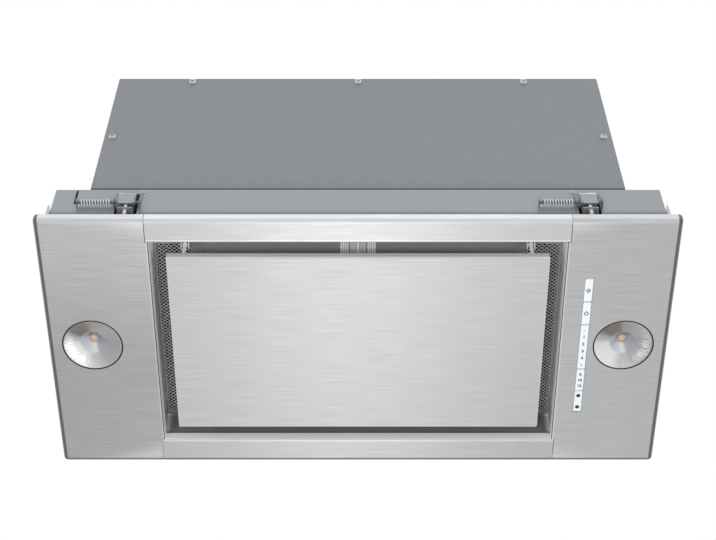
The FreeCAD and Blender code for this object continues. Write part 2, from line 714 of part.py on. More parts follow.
FAN_SIZES = {
    "fan_z": 165,
    "scroll_gap": 10,
    "scroll_sheet": 1.2,
    "scroll_room": 31,
    "scroll_offset": 4,
    "inlet_step": 17,
    "wheel_room": 12,
    "wheel_depth": 12,
    "wheel_half": 60,
    "wheel_ring": 2,
    "wheel_disc": 1.5,
    "blade_thick": 1,
    "blade_count": 28,
    "blade_lean": 24,
    "hub_radius": 12,
    "hub_length": 16,
    "shaft_radius": 4,
    "shaft_bore": 0.05,
    "shaft_depth": 30,
    "motor_room": 13,
    "motor_length": 56,
    "motor_gap": 5,
    "motor_plate_gap": 2.2,
    "bracket_thick": 2,
    "bracket_arm": 14,
    "bracket_rim": 8,
    "outlet_step": 14,
}
sizes(FAN_SIZES)
follows({
    "scroll_half": "wheel_half+scroll_gap",
    "motor_plate": "scroll_half+motor_plate_gap",
    "scroll_start": "housing_depth/2-scroll_room",
    "wheel_radius": "scroll_start-wheel_room",
    "inlet_radius": "wheel_radius-inlet_step",
    "motor_radius": "inlet_radius-motor_room",
    "outlet_half": "scroll_start-outlet_step",
})


def arc(centre, radius, start, end):
    """An arc in the YZ plane, angles in degrees from +Y towards +Z."""
    points = []
    for angle in (start, (start + end) / 2, end):
        turn = math.radians(angle)
        points.append(Vector(0, centre[0] + radius * math.cos(turn), centre[1] + radius * math.sin(turn)))
    return Part.Arc(*points).toShape()


def line(start, end):
    return Part.makeLine(start, end)


def scroll_face(grow):
    """The spiral outline with the outlet's slanted walls, widened by grow."""
    middle = value("fan_z")
    offset = value("scroll_offset")
    small = value("scroll_start") + grow
    centres = ((-offset, middle - offset), (offset, middle - offset), (offset, middle + offset))
    edges = []
    for i, centre in enumerate(centres):
        edges.append(arc(centre, small + 2 * offset * i, 90 * (i + 1), 90 * (i + 2)))
    first = edges[0].Vertexes[0].Point
    last = edges[-1].Vertexes[-1].Point
    top = value("housing_top-sheet")
    half = value("outlet_half") + grow
    rear = Vector(0, half, top)
    front = Vector(0, -half, top)
    edges += [line(last, rear), line(rear, front), line(front, first)]
    return Part.Face(Part.Wire(edges))


wall = value("scroll_sheet")
half = value("scroll_half")
outer = scroll_face(wall).extrude(Vector(2 * half, 0, 0))
outer.translate(Vector(-half, 0, 0))
inner = scroll_face(0).extrude(Vector(2 * (half - wall), 0, 0))
inner.translate(Vector(-(half - wall), 0, 0))
top = value("housing_top-sheet")
mouth = Part.makeBox(2 * (half - wall), 2 * value("outlet_half"), 2 * wall,
                     Vector(-(half - wall), -value("outlet_half"), top - wall))
inlet = Part.makeCylinder(value("inlet_radius"), 4 * half, Vector(-2 * half, 0, value("fan_z")),
                          Vector(1, 0, 0))
scroll = outer.cut([inner, mouth, inlet])
reach = outer.BoundBox
sheets = []
for low, high in ((-half, wall - half), (wall - half, half - wall), (half - wall, half)):
    slot = Part.makeBox(high - low, reach.YLength, reach.ZLength, Vector(low, reach.YMin, reach.ZMin))
    sheets.append(scroll.common(slot).Solids[0])
node("fan_scroll", made("fan_scroll", Part.makeCompound(sheets)))

wheel = body("wheel_disc")
pad(wheel, "wheel_disc_pad", [("0", "0", "wheel_radius-wheel_depth/2"), ("0", "0", "shaft_radius")],
    "-wheel_disc/2", "wheel_disc/2", "YZ")
pad(wheel, "wheel_hub", [("0", "0", "hub_radius"), ("0", "0", "shaft_radius")], "0", "hub_length", "YZ")
place(wheel, z="fan_z")
rims = []
for word, sign in (("left", -1), ("right", 1)):
    rim = [("0", "0", "wheel_radius"), ("0", "0", "wheel_radius-wheel_depth/3")]
    rims.append(slab(f"wheel_ring_{word}", rim, *side(sign, "wheel_half-wheel_ring", "wheel_half"), "YZ"))
    place(rims[-1], z="fan_z")
node("impeller_wheel", group("impeller_wheel", wheel, *rims))
first_blade = slab("wheel_blade", [[
    ("-blade_thick/2", "wheel_radius-wheel_depth"),
    ("blade_thick/2", "wheel_radius-wheel_depth"),
    ("wheel_depth*tan(blade_lean)+blade_thick/2", "wheel_radius-wheel_ring"),
    ("wheel_depth*tan(blade_lean)-blade_thick/2", "wheel_radius-wheel_ring"),
]], "-wheel_half", "wheel_half", "YZ")
blades = []
blade_count = int(value("blade_count"))
for index in range(blade_count):
    turned_blade = first_blade.Tip.Shape.copy()
    turned_blade.rotate(Vector(), Vector(1, 0, 0), 360 * index / blade_count)
    notched = turned_blade.cut([thing.Tip.Shape for thing in (wheel, *rims)]).Solids[0]
    notched.translate(Vector(0, 0, value("fan_z")))
    blades.append(made(f"wheel_blade_{index}", notched))
node("impeller_blades", group("impeller_blades", *blades))
MOTOR_END = "(wheel_disc/2+motor_gap)"
node("impeller_shaft", rod("impeller_shaft", "shaft_radius", "hub_length+motor_gap+shaft_depth+wheel_disc/2",
                           "-(wheel_disc/2+motor_gap+shaft_depth)", "0", "fan_z", "x"))
motor = body("fan_motor")
pad(motor, "motor_can", [("0", "0", "motor_radius")], f"-({MOTOR_END}+motor_length)", f"-{MOTOR_END}", "YZ")
can_edge = value(f"-{MOTOR_END}")
rounded(motor, "motor_round", "casing_bend*2", lambda e: e.BoundBox.XLength < NEAR)
pad(motor, "motor_neck", [("0", "0", "hub_radius")], "-motor_plate", f"-({MOTOR_END}+motor_length)+sheet",
    "YZ")
pocket(motor, "motor_bore", [("0", "0", "shaft_radius+shaft_bore")],
       f"-({MOTOR_END}+shaft_depth+sheet)", f"-{MOTOR_END}+cut_over", "YZ")
place(motor, z="fan_z")
node("fan_motor", motor)
ARM_IN = "(hub_radius-sheet)"
RIM_OUT = "(inlet_radius+bracket_rim)"
bracket = body("motor_bracket")
pad(bracket, "bracket_hub", [("0", "0", "hub_radius+bracket_rim")], "-(motor_plate+bracket_thick)",
    "-motor_plate",
    "YZ")
pad(bracket, "bracket_rim_ring", [("0", "0", RIM_OUT), ("0", "0", "inlet_radius")],
    "-(motor_plate+bracket_thick)", "-scroll_half", "YZ")
for index in range(3):
    angle = f"(90+120*{index})"
    arm = []
    for reach, across in (("hub_radius", -1), (RIM_OUT + "-sheet", -1), (RIM_OUT + "-sheet", 1),
                          ("hub_radius", 1)):
        arm.append((f"{reach}*cos{angle}-{across}*bracket_arm/2*sin{angle}",
                    f"{reach}*sin{angle}+{across}*bracket_arm/2*cos{angle}"))
    pad(bracket, f"bracket_arm_{index}", [arm], "-(motor_plate+bracket_thick)", "-motor_plate", "YZ")
place(bracket, z="fan_z")
node("motor_bracket", bracket)

# Two mesh filters. Each hangs by its rear bar on the ledge and can tip down at the front.

FILTER_SIZES = {
    "filter_gap": 0.6,
    "filter_front_gap": 1.5,
    "filter_rear_gap": 1.5,
    "filter_bar": 8,
    "filter_end_bar": 2.4,
    "filter_rim": 2,
    "mesh_z": 0.6,
    "mesh_thick": 0.8,
    "mesh_pitch_x": 20,
    "mesh_pitch_y": 20,
    "mesh_strand": 1.6,
    "filter_pad_height": 6,
    "latch_width": 24,
    "latch_thick": 2,
    "latch_reach": 1.2,
    "latch_back": 12,
}
sizes(FILTER_SIZES)
follows({
    "filter_front": "shelf_rear-filter_front_gap",
    "filter_rear": "opening_depth/2-filter_rear_gap",
})
FILTER_TOP = "(filter_bottom+filter_height)"
MESH_Z = "(filter_bottom+mesh_z)"
for word, sign in (("left", -1), ("right", 1)):
    near, far = "(bar_half+filter_gap)", f"({IN_X}-gap)"
    frame_x = side(sign, near, far)
    hole_x = side(sign, f"{near}+filter_bar", f"{far}-filter_rim")
    hole_y = ("-(filter_front-filter_end_bar)", "filter_rear-filter_end_bar")
    frame = body(f"filter_{word}_frame")
    pad(frame, f"filter_{word}_bars", [rectangle(frame_x, ("-filter_front", "filter_rear")),
                                       rectangle(hole_x, hole_y)], "filter_bottom", FILTER_TOP)
    middle = f"{sign}*({near}+{far})/2"
    slot_x = (f"{middle}-latch_width/2-gap", f"{middle}+latch_width/2+gap")
    slot_z = (f"{FILTER_TOP}-latch_thick-gap", f"{FILTER_TOP}+cut_over")
    pocket(frame, f"filter_{word}_latch_way", [rectangle(slot_x, slot_z)],
           "filter_front-filter_end_bar-cut_over", "filter_front+cut_over", "XZ")
    node(f"filter_{word}_frame", frame)

    low_x, high_x = value(hole_x[0]), value(hole_x[1])
    low_y, high_y = value(hole_y[0]), value(hole_y[1])
    pitch_x, pitch_y = value("mesh_pitch_x"), value("mesh_pitch_y")
    reach_x, reach_y = pitch_x / 2 - value("mesh_strand") / 2, pitch_y / 2 - value("mesh_strand") / 2
    net = [Part.makePolygon([Vector(x, y, 0) for x, y in
                             ((low_x, low_y), (high_x, low_y), (high_x, high_y), (low_x, high_y),
                              (low_x, low_y))])]
    across = int((high_x - low_x) / pitch_x)
    along = int((high_y - low_y) / (pitch_y / 2)) - 1
    for row in range(along):
        for column in range(across - row % 2):
            x = (low_x + high_x) / 2 + (column - (across - row % 2 - 1) / 2) * pitch_x
            y = (low_y + high_y) / 2 + (row - (along - 1) / 2) * pitch_y / 2
            diamond = [Vector(x - reach_x, y, 0), Vector(x, y - reach_y, 0), Vector(x + reach_x, y, 0),
                       Vector(x, y + reach_y, 0), Vector(x - reach_x, y, 0)]
            net.append(Part.makePolygon(diamond))
    mesh = Part.makeFace(net, "Part::FaceMakerBullseye").extrude(Vector(0, 0, value("mesh_thick")))
    mesh.translate(Vector(0, 0, value(MESH_Z)))
    print(f"filter {word}: {len(net) - 1} gaps in the mesh")
    node(f"filter_{word}_mesh", made(f"filter_{word}_mesh", mesh))
    pad_low = f"{MESH_Z}+mesh_thick"
    node(f"filter_{word}_pad", box(f"filter_{word}_pad", hole_x, hole_y,
                                   (pad_low, f"{pad_low}+filter_pad_height")))

    latch = body(f"filter_{word}_latch")
    latch_x = (f"{middle}-latch_width/2", f"{middle}+latch_width/2")
    pad(latch, f"latch_{word}_slide",
        [rectangle(latch_x, ("-(filter_front+latch_reach)", "-(filter_front-latch_back)"))],
        f"{FILTER_TOP}-latch_thick", FILTER_TOP)
    node(f"filter_{word}_latch", latch)

# Rim panel: a folded tray with a closing plate, hinged at the rear and held by two studs at the front

PANEL_SIZES = {
    "panel_side_gap": 14.5,
    "panel_front_gap": 16,
    "panel_rear_gap": 15.4,
    "panel_height": 7,
    "panel_bend": 1.6,
    "back_plate": 0.8,
    "hinge_inset": 21,
    "hinge_z": 16,
    "hinge_end": 24,
    "hinge_pin_radius": 2,
    "hinge_bore": 0.05,
    "lug_radius": 4.5,
    "lug_thick": 2,
    "lug_pin_spare": 1,
    "bracket_top": 34,
    "bracket_top_thick": 1.5,
    "bracket_half": 5,
    "stud_end": 15.5,
    "stud_inset": 3.5,
    "stud_neck": 1.8,
    "stud_ball": 2.7,
    "stud_ball_z": 26,
    "stud_foot": 4,
    "stud_foot_height": 2,
    "jaw_thick": 0.8,
    "jaw_depth": 6,
    "jaw_low": 22,
    "jaw_gap": 0.3,
}
sizes(PANEL_SIZES)
follows({
    "panel_width": "opening_width-2*panel_side_gap",
    "panel_front": "opening_depth/2-panel_front_gap",
    "panel_rear": "opening_depth/2-panel_rear_gap",
    "hinge_y": "opening_depth/2-hinge_inset",
    "hinge_x": "panel_width/2-hinge_end",
    "stud_x": "panel_width/2-stud_end",
    "stud_y": "panel_front-stud_inset",
})
PANEL_X = "panel_width/2"
panel = body("rim_panel")
pad(panel, "rim_panel_solid", [rectangle((f"-{PANEL_X}", PANEL_X), ("-panel_front", "panel_rear"))],
    "0", "panel_height")
rounded(panel, "rim_panel_bend", "panel_bend", lambda e: upright(e) or flat_at(e, "Z", 0))
hollowed(panel, "rim_panel_sheet", "sheet", lambda f: flat_at(f, "Z", value("panel_height")))
node("rim_panel", panel)
PLATE_TOP = "(panel_height-sheet/2)"
plate_x = (f"-({PANEL_X}-sheet)", f"{PANEL_X}-sheet")
plate_y = ("-(panel_front-sheet)", "panel_rear-sheet")
corner = "(panel_bend-sheet)"
plate = body("panel_back_plate")
pad(plate, "panel_plate", [rectangle(plate_x, plate_y)], f"{PLATE_TOP}-back_plate", PLATE_TOP)
rounded(plate, "panel_plate_corners", "panel_bend", upright)
node("panel_back_plate", plate)

studs = []
for index, sign in enumerate((-1, 1)):
    x = f"{sign}*stud_x"
    foot = rod(f"stud_foot_{index}", "stud_foot", "stud_foot_height", x, "-(panel_front-sheet-stud_foot)",
               PLATE_TOP)
    neck = rod(f"stud_neck_{index}", "stud_neck", f"stud_ball_z-{PLATE_TOP}", x, "-stud_y", PLATE_TOP)
    head = ball(f"stud_ball_{index}", "stud_ball", x, "-stud_y", "stud_ball_z")
    studs.append(fuse(f"stud_{index}", foot, neck, head))
node("panel_studs", group("panel_studs", *studs))

catches = []
for index, sign in enumerate((-1, 1)):
    x = f"{sign}*stud_x"
    y = ("-(stud_y+jaw_depth/2)", "-(stud_y-jaw_depth/2)")
    bridge = box(f"catch_bridge_{index}", (f"{x}-stud_ball-jaw_gap-jaw_thick",
                                           f"{x}+stud_ball+jaw_gap+jaw_thick"),
                 y, ("shelf_z-jaw_thick", "shelf_z"))
    low = box(f"catch_left_{index}", (f"{x}-stud_ball-jaw_gap-jaw_thick", f"{x}-stud_ball-jaw_gap"), y,
              ("jaw_low", "shelf_z"))
    high = box(f"catch_right_{index}", (f"{x}+stud_ball+jaw_gap", f"{x}+stud_ball+jaw_gap+jaw_thick"), y,
               ("jaw_low", "shelf_z"))
    catches.append(fuse(f"catch_{index}", bridge, low, high))
node("panel_catches", group("panel_catches", *catches))

# Each hinge: two lugs on the panel, one bracket plate from the intake frame between them, and a pin

lugs, brackets, pins = [], [], []
for index, sign in enumerate((-1, 1)):
    middle = f"{sign}*hinge_x"
    for end, step in ((0, -1), (1, 1)):
        x = side(step, "lug_thick/2+gap", "lug_thick/2+gap+lug_thick")
        x = (f"{middle}+{x[0]}", f"{middle}+{x[1]}")
        eye = rod(f"lug_eye_{index}_{end}", "lug_radius", "lug_thick", x[0], "hinge_y", "hinge_z", "x")
        leg = box(f"lug_leg_{index}_{end}", x, ("hinge_y-lug_radius", "hinge_y+lug_radius"),
                  (PLATE_TOP, "hinge_z"))
        bore = rod(f"lug_bore_{index}_{end}", "hinge_pin_radius+hinge_bore", "lug_thick+2*cut_over",
                   f"{x[0]}-cut_over", "hinge_y", "hinge_z", "x")
        lugs.append(cut(f"lug_{index}_{end}", fuse(f"lug_solid_{index}_{end}", eye, leg), bore))
    web_x = (f"{middle}-lug_thick/2", f"{middle}+lug_thick/2")
    web = slab(f"hinge_web_{index}", [[
        ("hinge_y-bracket_half+sheet", "hinge_z"),
        ("hinge_y+bracket_half-sheet", "hinge_z"),
        ("hinge_y+bracket_half-sheet", "bracket_top"),
        (IN_Y, "bracket_top"),
        (IN_Y, "bracket_top+bracket_top_thick"),
        ("hinge_y-bracket_half+sheet", "bracket_top+bracket_top_thick"),
    ]], *web_x, "YZ")
    eye = rod(f"hinge_eye_{index}", "bracket_half-sheet", "lug_thick", web_x[0], "hinge_y", "hinge_z", "x")
    base = box(f"hinge_base_{index}", (f"{middle}-bracket_half", f"{middle}+bracket_half"),
               (f"{IN_Y}-bracket_top_thick", IN_Y),
               ("bracket_top-bracket_half-lug_thick", "bracket_top+bracket_top_thick"))
    brackets.append(fuse(f"hinge_bracket_{index}", web, eye, base))
    pins.append(rod(f"hinge_pin_{index}", "hinge_pin_radius", "3*lug_thick+2*gap+2*lug_pin_spare",
                    f"{middle}-(1.5*lug_thick+gap+lug_pin_spare)", "hinge_y", "hinge_z", "x"))
holes = [rod(f"hinge_hole_{index}", "hinge_pin_radius", "3*lug_thick", f"{sign}*hinge_x-1.5*lug_thick",
             "hinge_y",
             "hinge_z", "x") for index, sign in enumerate((-1, 1))]
node("panel_lugs", group("panel_lugs", *lugs))
drilled = [cut(f"hinge_drilled_{index}", brackets[index], holes[index]) for index in range(2)]
node("hinge_brackets", group("hinge_brackets", *drilled))
node("hinge_pins", group("hinge_pins", *pins))

# Lamps: a polished dish, a chip on its board and a finned heat sink

LAMP_SIZES = {
    "dish_low": 0.2,
    "dish_wall": 1,
    "dish_lip": 1.4,
    "dish_flange": 29.8,
    "dish_knee": 12.6,
    "dish_knee_z": 4.6,
    "dish_throat": 4.6,
    "dish_throat_z": 11.5,
    "chip_radius": 3.5,
    "chip_thick": 0.9,
    "board_radius": 9,
    "board_thick": 1.5,
    "sink_radius": 22,
    "sink_base": 4,
    "sink_height": 24,
    "sink_fin": 1.5,
    "sink_fin_count": 7,
}
sizes(LAMP_SIZES)
DISH_TOP = "(dish_throat_z+dish_wall)"
boards, sinks = [], []
for word, sign in (("left", -1), ("right", 1)):
    dish = turned(f"lamp_{word}_reflector", [
        ("lamp_radius", "dish_low"),
        ("lamp_radius-dish_lip", "dish_low"),
        ("dish_knee", "dish_knee_z"),
        ("dish_throat", "dish_throat_z"),
        ("dish_throat", DISH_TOP),
        ("dish_knee+dish_wall", "dish_knee_z+dish_wall"),
        ("lamp_radius-dish_lip", "dish_low+2*dish_wall"),
        ("lamp_radius-dish_lip", "sheet+dish_wall"),
        ("dish_flange", "sheet+dish_wall"),
        ("dish_flange", "sheet"),
        ("lamp_radius", "sheet"),
    ])
    place(dish, x=f"{sign}*lamp_x")
    node(f"lamp_{word}_reflector", dish)
    chip = rod(f"chip_{word}", "chip_radius", "chip_thick", f"{sign}*lamp_x", "0", f"{DISH_TOP}-chip_thick")
    board = rod(f"board_{word}", "board_radius", "board_thick", f"{sign}*lamp_x", "0", DISH_TOP)
    boards.append(fuse(f"lamp_led_{word}", chip, board))
    base = rod(f"sink_base_{word}", "sink_radius", "sink_base", f"{sign}*lamp_x", "0",
               f"{DISH_TOP}+board_thick")
    disc = rod(f"sink_disc_{word}", "sink_radius", "sink_height", f"{sign}*lamp_x", "0",
               f"{DISH_TOP}+board_thick")
    fins = []
    for index in range(int(value("sink_fin_count"))):
        middle = f"{sign}*lamp_x+({index}-(sink_fin_count-1)/2)*2*sink_radius/(sink_fin_count+1)"
        fins.append(box(f"fin_{word}_{index}", (f"{middle}-sink_fin/2", f"{middle}+sink_fin/2"),
                        ("-sink_radius", "sink_radius"),
                        (f"{DISH_TOP}+board_thick", f"{DISH_TOP}+board_thick+sink_height")))
    finned = doc.addObject("Part::Common", f"sink_fins_{word}")
    finned.Base = disc
    finned.Tool = fuse(f"sink_all_{word}", *fins)
    sinks.append(fuse(f"sink_{word}", base, finned))
node("lamp_leds", group("lamp_leds", *boards))
node("lamp_heat_sinks", group("lamp_heat_sinks", *sinks))

# Key strip: five keys in one slot of the right end panel, a carrier frame and the circuit board behind it

KEYS_SIZES = {
    "key_height": 4,
    "key_lip": 1.5,
    "key_lip_low": 1.3,
    "key_lip_top": 2.5,
    "carrier_wall": 1.6,
    "carrier_clear": 0.3,
    "carrier_top": 6.5,
    "board_sheet": 1.6,
    "switch_half": 2.6,
    "switch_gap": 0.9,
    "rocker_lip": 7,
}
sizes(KEYS_SIZES)
KEY_LEFT, KEY_RIGHT = "(key_x-key_width/2)", "(key_x+key_width/2)"
STRIP = [("key_light", 0, 1), ("key_power", 1, 2), ("key_level", 2, 4), ("key_timer", 4, 5),
         ("key_filter", 5, 6)]
switches = []
for name, start, end in STRIP:
    low = f"(key_start+{start}*key_pitch+key_gap/2)"
    high = f"(key_start+{end}*key_pitch-key_gap/2)"
    face = box(name + "_face", (KEY_LEFT, KEY_RIGHT), (low, high), ("0", "key_height"))
    places = [f"({low}+{high})/2"]
    lip_y = (f"{low}+key_lip", f"{high}-key_lip")
    if end - start > 1:
        lip_y = (f"({low}+{high})/2-rocker_lip", f"({low}+{high})/2+rocker_lip")
        places = [f"({low}+key_pitch/2)", f"({high}-key_pitch/2)"]
    lips = box(name + "_lips", (f"{KEY_LEFT}-key_lip", f"{KEY_RIGHT}+key_lip"), lip_y,
               ("key_lip_low", "key_lip_top"))
    node(name, fuse(name, face, lips))
    for middle in places:
        switches.append(box(f"{name}_switch_{len(switches)}", ("key_x-switch_half", "key_x+switch_half"),
                            (f"{middle}-switch_half", f"{middle}+switch_half"),
                            ("key_height+switch_gap", "carrier_top")))
strip_y = ("key_start-key_gap-carrier_clear", KEY_END + "+key_gap+carrier_clear")
inside_x = (f"{KEY_LEFT}-key_lip-carrier_clear", f"{KEY_RIGHT}+key_lip+carrier_clear")
carrier = body("key_carrier")
pad(carrier, "carrier", [
    rectangle((f"{inside_x[0]}-carrier_wall", f"{inside_x[1]}+carrier_wall"),
              (f"{strip_y[0]}-carrier_wall", f"{strip_y[1]}+carrier_wall")),
    rectangle(inside_x, strip_y)], "sheet", "carrier_top")
node("key_carrier", carrier)
base = box("board_base", (f"{inside_x[0]}-carrier_wall", f"{inside_x[1]}+carrier_wall"),
           (f"{strip_y[0]}-carrier_wall", f"{strip_y[1]}+carrier_wall"),
           ("carrier_top", "carrier_top+board_sheet"))
node("key_board", fuse("key_board", base, *switches))

# Clamps on the front and rear walls of the casing: bracket, swinging arm, pin, coil spring and screw

CLAMP_SIZES = {
    "clamp_half": 12.2,
    "clamp_low": 10,
    "clamp_high": 50,
    "clamp_sheet": 1,
    "clamp_axis_y": 4.4,
    "clamp_axis_z": 29.2,
    "cheek_depth": 7.3,
    "arm_half": 8,
    "arm_foot_half": 5.8,
    "arm_sheet": 1.2,
    "arm_eye": 2.9,
    "arm_low": 23.5,
    "arm_shoulder": 37,
    "arm_arch": 39,
    "arm_top": 46,
    "pin_radius": 1.5,
    "pin_bore": 0.05,
    "spring_length": 32.4,
    "spring_radius": 2.6,
    "spring_wire": 0.5,
    "spring_turns": 11,
    "ear_thick": 1.2,
    "ear_wall": 0.9,
    "nut_z": 15,
    "nut_thick": 2,
    "clamp_screw_radius": 1.8,
    "clamp_screw_low": 10.5,
    "clamp_screw_high": 22.5,
}
sizes(CLAMP_SIZES)


def biarc(start, heading, end, arrival):
    """Two tangent arcs between two points with given directions."""
    span = end - start
    both = heading + arrival
    square = 2 * (1 - heading.dot(arrival))
    along = span.dot(both)
    if abs(square) < 1e-9:
        reach = span.dot(span) / (2 * along)
    else:
        reach = (-along + math.sqrt(along * along + square * span.dot(span))) / square
    near = start + heading * reach
    far = end - arrival * reach
    joint = (near + far) * 0.5
    edges = []
    for a, corner, b in ((start, near, joint), (joint, far, end)):
        chord = (b - a) * 0.5
        middle = a + chord
        rise = corner - middle
        leg = (corner - a).Length
        if rise.Length < 1e-9:
            edges.append(line(a, b))
            continue
        depth = rise.Length * chord.Length / (leg + chord.Length)
        edges.append(Part.Arc(a, middle + rise * (depth / rise.Length), b).toShape())
    return edges


def coil(length, radius, wire, turns):
    """A closed-ended coil along X from 0 to length, its wire ends straight for one wire diameter."""
    thick = 2 * wire
    lead = 2.5 * thick
    pitch = (length - 2 * lead) / turns
    quarters = int(4 * turns)
    slope = pitch / (2 * math.pi * radius)

    def point(i):
        turn = math.pi / 2 * i
        return Vector(lead + pitch * i / 4, radius * math.cos(turn), radius * math.sin(turn))

    def direction(i):
        turn = math.pi / 2 * i
        return Vector(slope, -math.sin(turn), math.cos(turn)).normalize()

    ahead = Vector(1, 0, 0)
    start = Vector(0, radius, -1.5 * thick)
    end_point = point(quarters)
    last = direction(quarters)
    end = Vector(length, end_point.y, end_point.z) + Vector(0, last.y, last.z) * (1.5 * thick)
    edges = [line(start, start + ahead * thick)]
    edges += biarc(start + ahead * thick, ahead, point(0), direction(0))
    for i in range(quarters):
        edges += biarc(point(i), direction(i), point(i + 1), direction(i + 1))
    edges += biarc(end_point, last, end - ahead * thick, ahead)
    edges.append(line(end - ahead * thick, end))
    path = Part.Wire(edges)
    profile = Part.Wire(Part.makeCircle(wire, start, ahead))
    shell = Part.BRepOffsetAPI.MakePipeShell(path)
    shell.add(profile)
    shell.build()
    shell.makeSolid()
    samples = [edge.discretize(5)[1:] for edge in edges]
    points = [p for run in samples for p in run]
    reach = len(points) // (2 * int(turns))
    pairs = ((i, k) for i in range(len(points)) for k in range(i + reach, len(points)))
    least = min((points[i] - points[k]).Length for i, k in pairs)
    print(f"coil: {turns:g} turns, least gap to itself {least - thick:.2f}")
    return shell.shape()


spring_shape = coil(value("spring_length"), value("spring_radius"), value("spring_wire"),
                    value("spring_turns"))
brackets, springs, pins, screws = [], [], [], []
for depth_word, face in (("front", -1), ("rear", 1)):
    for word, sign in (("left", -1), ("right", 1)):
        tag = f"{depth_word}_{word}"
        middle = f"{sign}*clamp_x"
        wall = (CASE_Y, f"{CASE_Y}+clamp_sheet")
        deep = (CASE_Y, f"{CASE_Y}+cheek_depth")
        axis_y = f"{face}*({CASE_Y}+clamp_axis_y)"
        spring_x = f"{middle}-clamp_half-spring_length"
        outline = rectangle((f"{middle}-clamp_half", f"{middle}+clamp_half"), ("clamp_low", "clamp_high"))
        plate = slab(f"clamp_plate_{tag}", [outline], *side(-face, *wall), "XZ")
        through = side(-face, CASE_Y, f"{CASE_Y}+2*clamp_sheet")
        windows = [slab(f"clamp_window_{tag}_{number}", [loop], *through, "XZ")
                   for number, loop in enumerate(clamp_windows(middle))]
        pieces = [cut(f"clamp_frame_{tag}", plate, *windows)]
        for number, x in enumerate(((f"{middle}-clamp_half", f"{middle}-clamp_half+clamp_sheet"),
                                    (f"{middle}+clamp_half-clamp_sheet", f"{middle}+clamp_half"))):
            pieces.append(box(f"clamp_ear_{tag}_{number}", x, side(face, *deep),
                              ("clamp_axis_z-arm_eye-clamp_sheet", "clamp_axis_z+arm_eye+clamp_sheet")))
        pieces.append(box(f"clamp_nut_{tag}", (f"{middle}+clamp_spring_slot+clamp_slot_width",
                                               f"{middle}+clamp_free_slot"), side(face, *deep),
                          ("nut_z", "nut_z+nut_thick")))
        pin_start = f"{spring_x}-ear_thick"
        hole = rod(f"clamp_hole_{tag}", "pin_radius", "spring_length+ear_thick+2*clamp_half", pin_start,
                   axis_y, "clamp_axis_z", "x")
        thread = rod(f"clamp_thread_{tag}", "clamp_screw_radius", "nut_thick+2*cut_over", middle, axis_y,
                     "nut_z-cut_over")
        brackets.append(cut(f"clamp_bracket_{tag}", fuse(f"clamp_solid_{tag}", *pieces), hole, thread))
        ear = box(f"spring_ear_{tag}", (f"{spring_x}-ear_thick", spring_x), side(face, *deep),
                  ("clamp_axis_z-pin_radius-ear_wall", "clamp_axis_z+pin_radius+ear_wall"))
        brackets.append(cut(f"spring_ear_bored_{tag}", ear, hole))
        pins.append(rod(f"clamp_pin_{tag}", "pin_radius", "spring_length+ear_thick+2*clamp_half", pin_start,
                        axis_y, "clamp_axis_z", "x"))
        screws.append(rod(f"clamp_screw_{tag}", "clamp_screw_radius", "clamp_screw_high-clamp_screw_low",
                          middle, axis_y, "clamp_screw_low"))
        spring = made(f"clamp_spring_{tag}", spring_shape)
        place(spring, spring_x, axis_y, "clamp_axis_z")
        springs.append(spring)

        rises = (
            ("clamp_axis_y+arm_eye", "arm_low"),
            ("clamp_axis_y+arm_eye", "arm_arch"),
            ("clamp_axis_y+arm_eye/2", "(arm_arch+2*arm_top)/3"),
            ("clamp_axis_y-arm_eye/2", "arm_top"),
            ("clamp_sheet+gap", "arm_top"),
            ("clamp_sheet+gap", "arm_top-arm_sheet"),
            ("clamp_axis_y-arm_eye/2-arm_sheet/4", "arm_top-arm_sheet"),
            ("clamp_axis_y+arm_eye/2-arm_sheet/2", "(arm_arch+2*arm_top)/3-arm_sheet"),
            ("clamp_axis_y+arm_eye-arm_sheet", "arm_arch-arm_sheet/2"),
            ("clamp_axis_y+arm_eye-arm_sheet", "arm_low"),
        )
        strap = [(f"{face}*({CASE_Y}+{y})", z) for y, z in rises]
        bent = slab(f"arm_strap_{tag}", [strap], f"{middle}-arm_half", f"{middle}+arm_half", "YZ")
        arch = [("-arm_foot_half", "arm_low"), ("arm_foot_half", "arm_low"), ("arm_half", "arm_shoulder")]
        for share_x, share_z in ((1, 0.35), (0.85, 0.68), (0.5, 0.93)):
            arch.append((f"{share_x}*arm_half", f"arm_shoulder+{share_z}*(arm_top-arm_shoulder)"))
        arch.append(("0", "arm_top"))
        for share_x, share_z in ((0.5, 0.93), (0.85, 0.68), (1, 0.35), (1, 0)):
            arch.append((f"-{share_x}*arm_half", f"arm_shoulder+{share_z}*(arm_top-arm_shoulder)"))
        front = slab(f"arm_front_{tag}", [[(f"{middle}+({x})", z) for x, z in arch]],
                     *side(-face, CASE_Y, f"{CASE_Y}+cheek_depth+clamp_sheet"), "XZ")
        arm = doc.addObject("Part::Common", f"arm_shape_{tag}")
        arm.Base = bent
        arm.Tool = front
        eye = rod(f"arm_eye_{tag}", "arm_eye-gap", "2*arm_half", f"{middle}-arm_half", axis_y,
                  "clamp_axis_z", "x")
        web = box(f"arm_web_{tag}", (f"{middle}-arm_half", f"{middle}+arm_half"),
                  side(face, f"{CASE_Y}+clamp_axis_y", f"{CASE_Y}+clamp_axis_y+arm_eye"),
                  ("clamp_axis_z", "clamp_axis_z+arm_sheet"))
        bore = rod(f"arm_bore_{tag}", "pin_radius+pin_bore", "2*arm_half+2*cut_over",
                   f"{middle}-arm_half-cut_over", axis_y, "clamp_axis_z", "x")
        node(f"clamp_arm_{tag}", cut(f"clamp_arm_{tag}", fuse(f"arm_solid_{tag}", arm, eye, web), bore))
node("clamp_brackets", group("clamp_brackets", *brackets))
node("clamp_pins", group("clamp_pins", *pins))
node("clamp_screws", group("clamp_screws", *screws))
node("clamp_springs", group("clamp_springs", *springs))

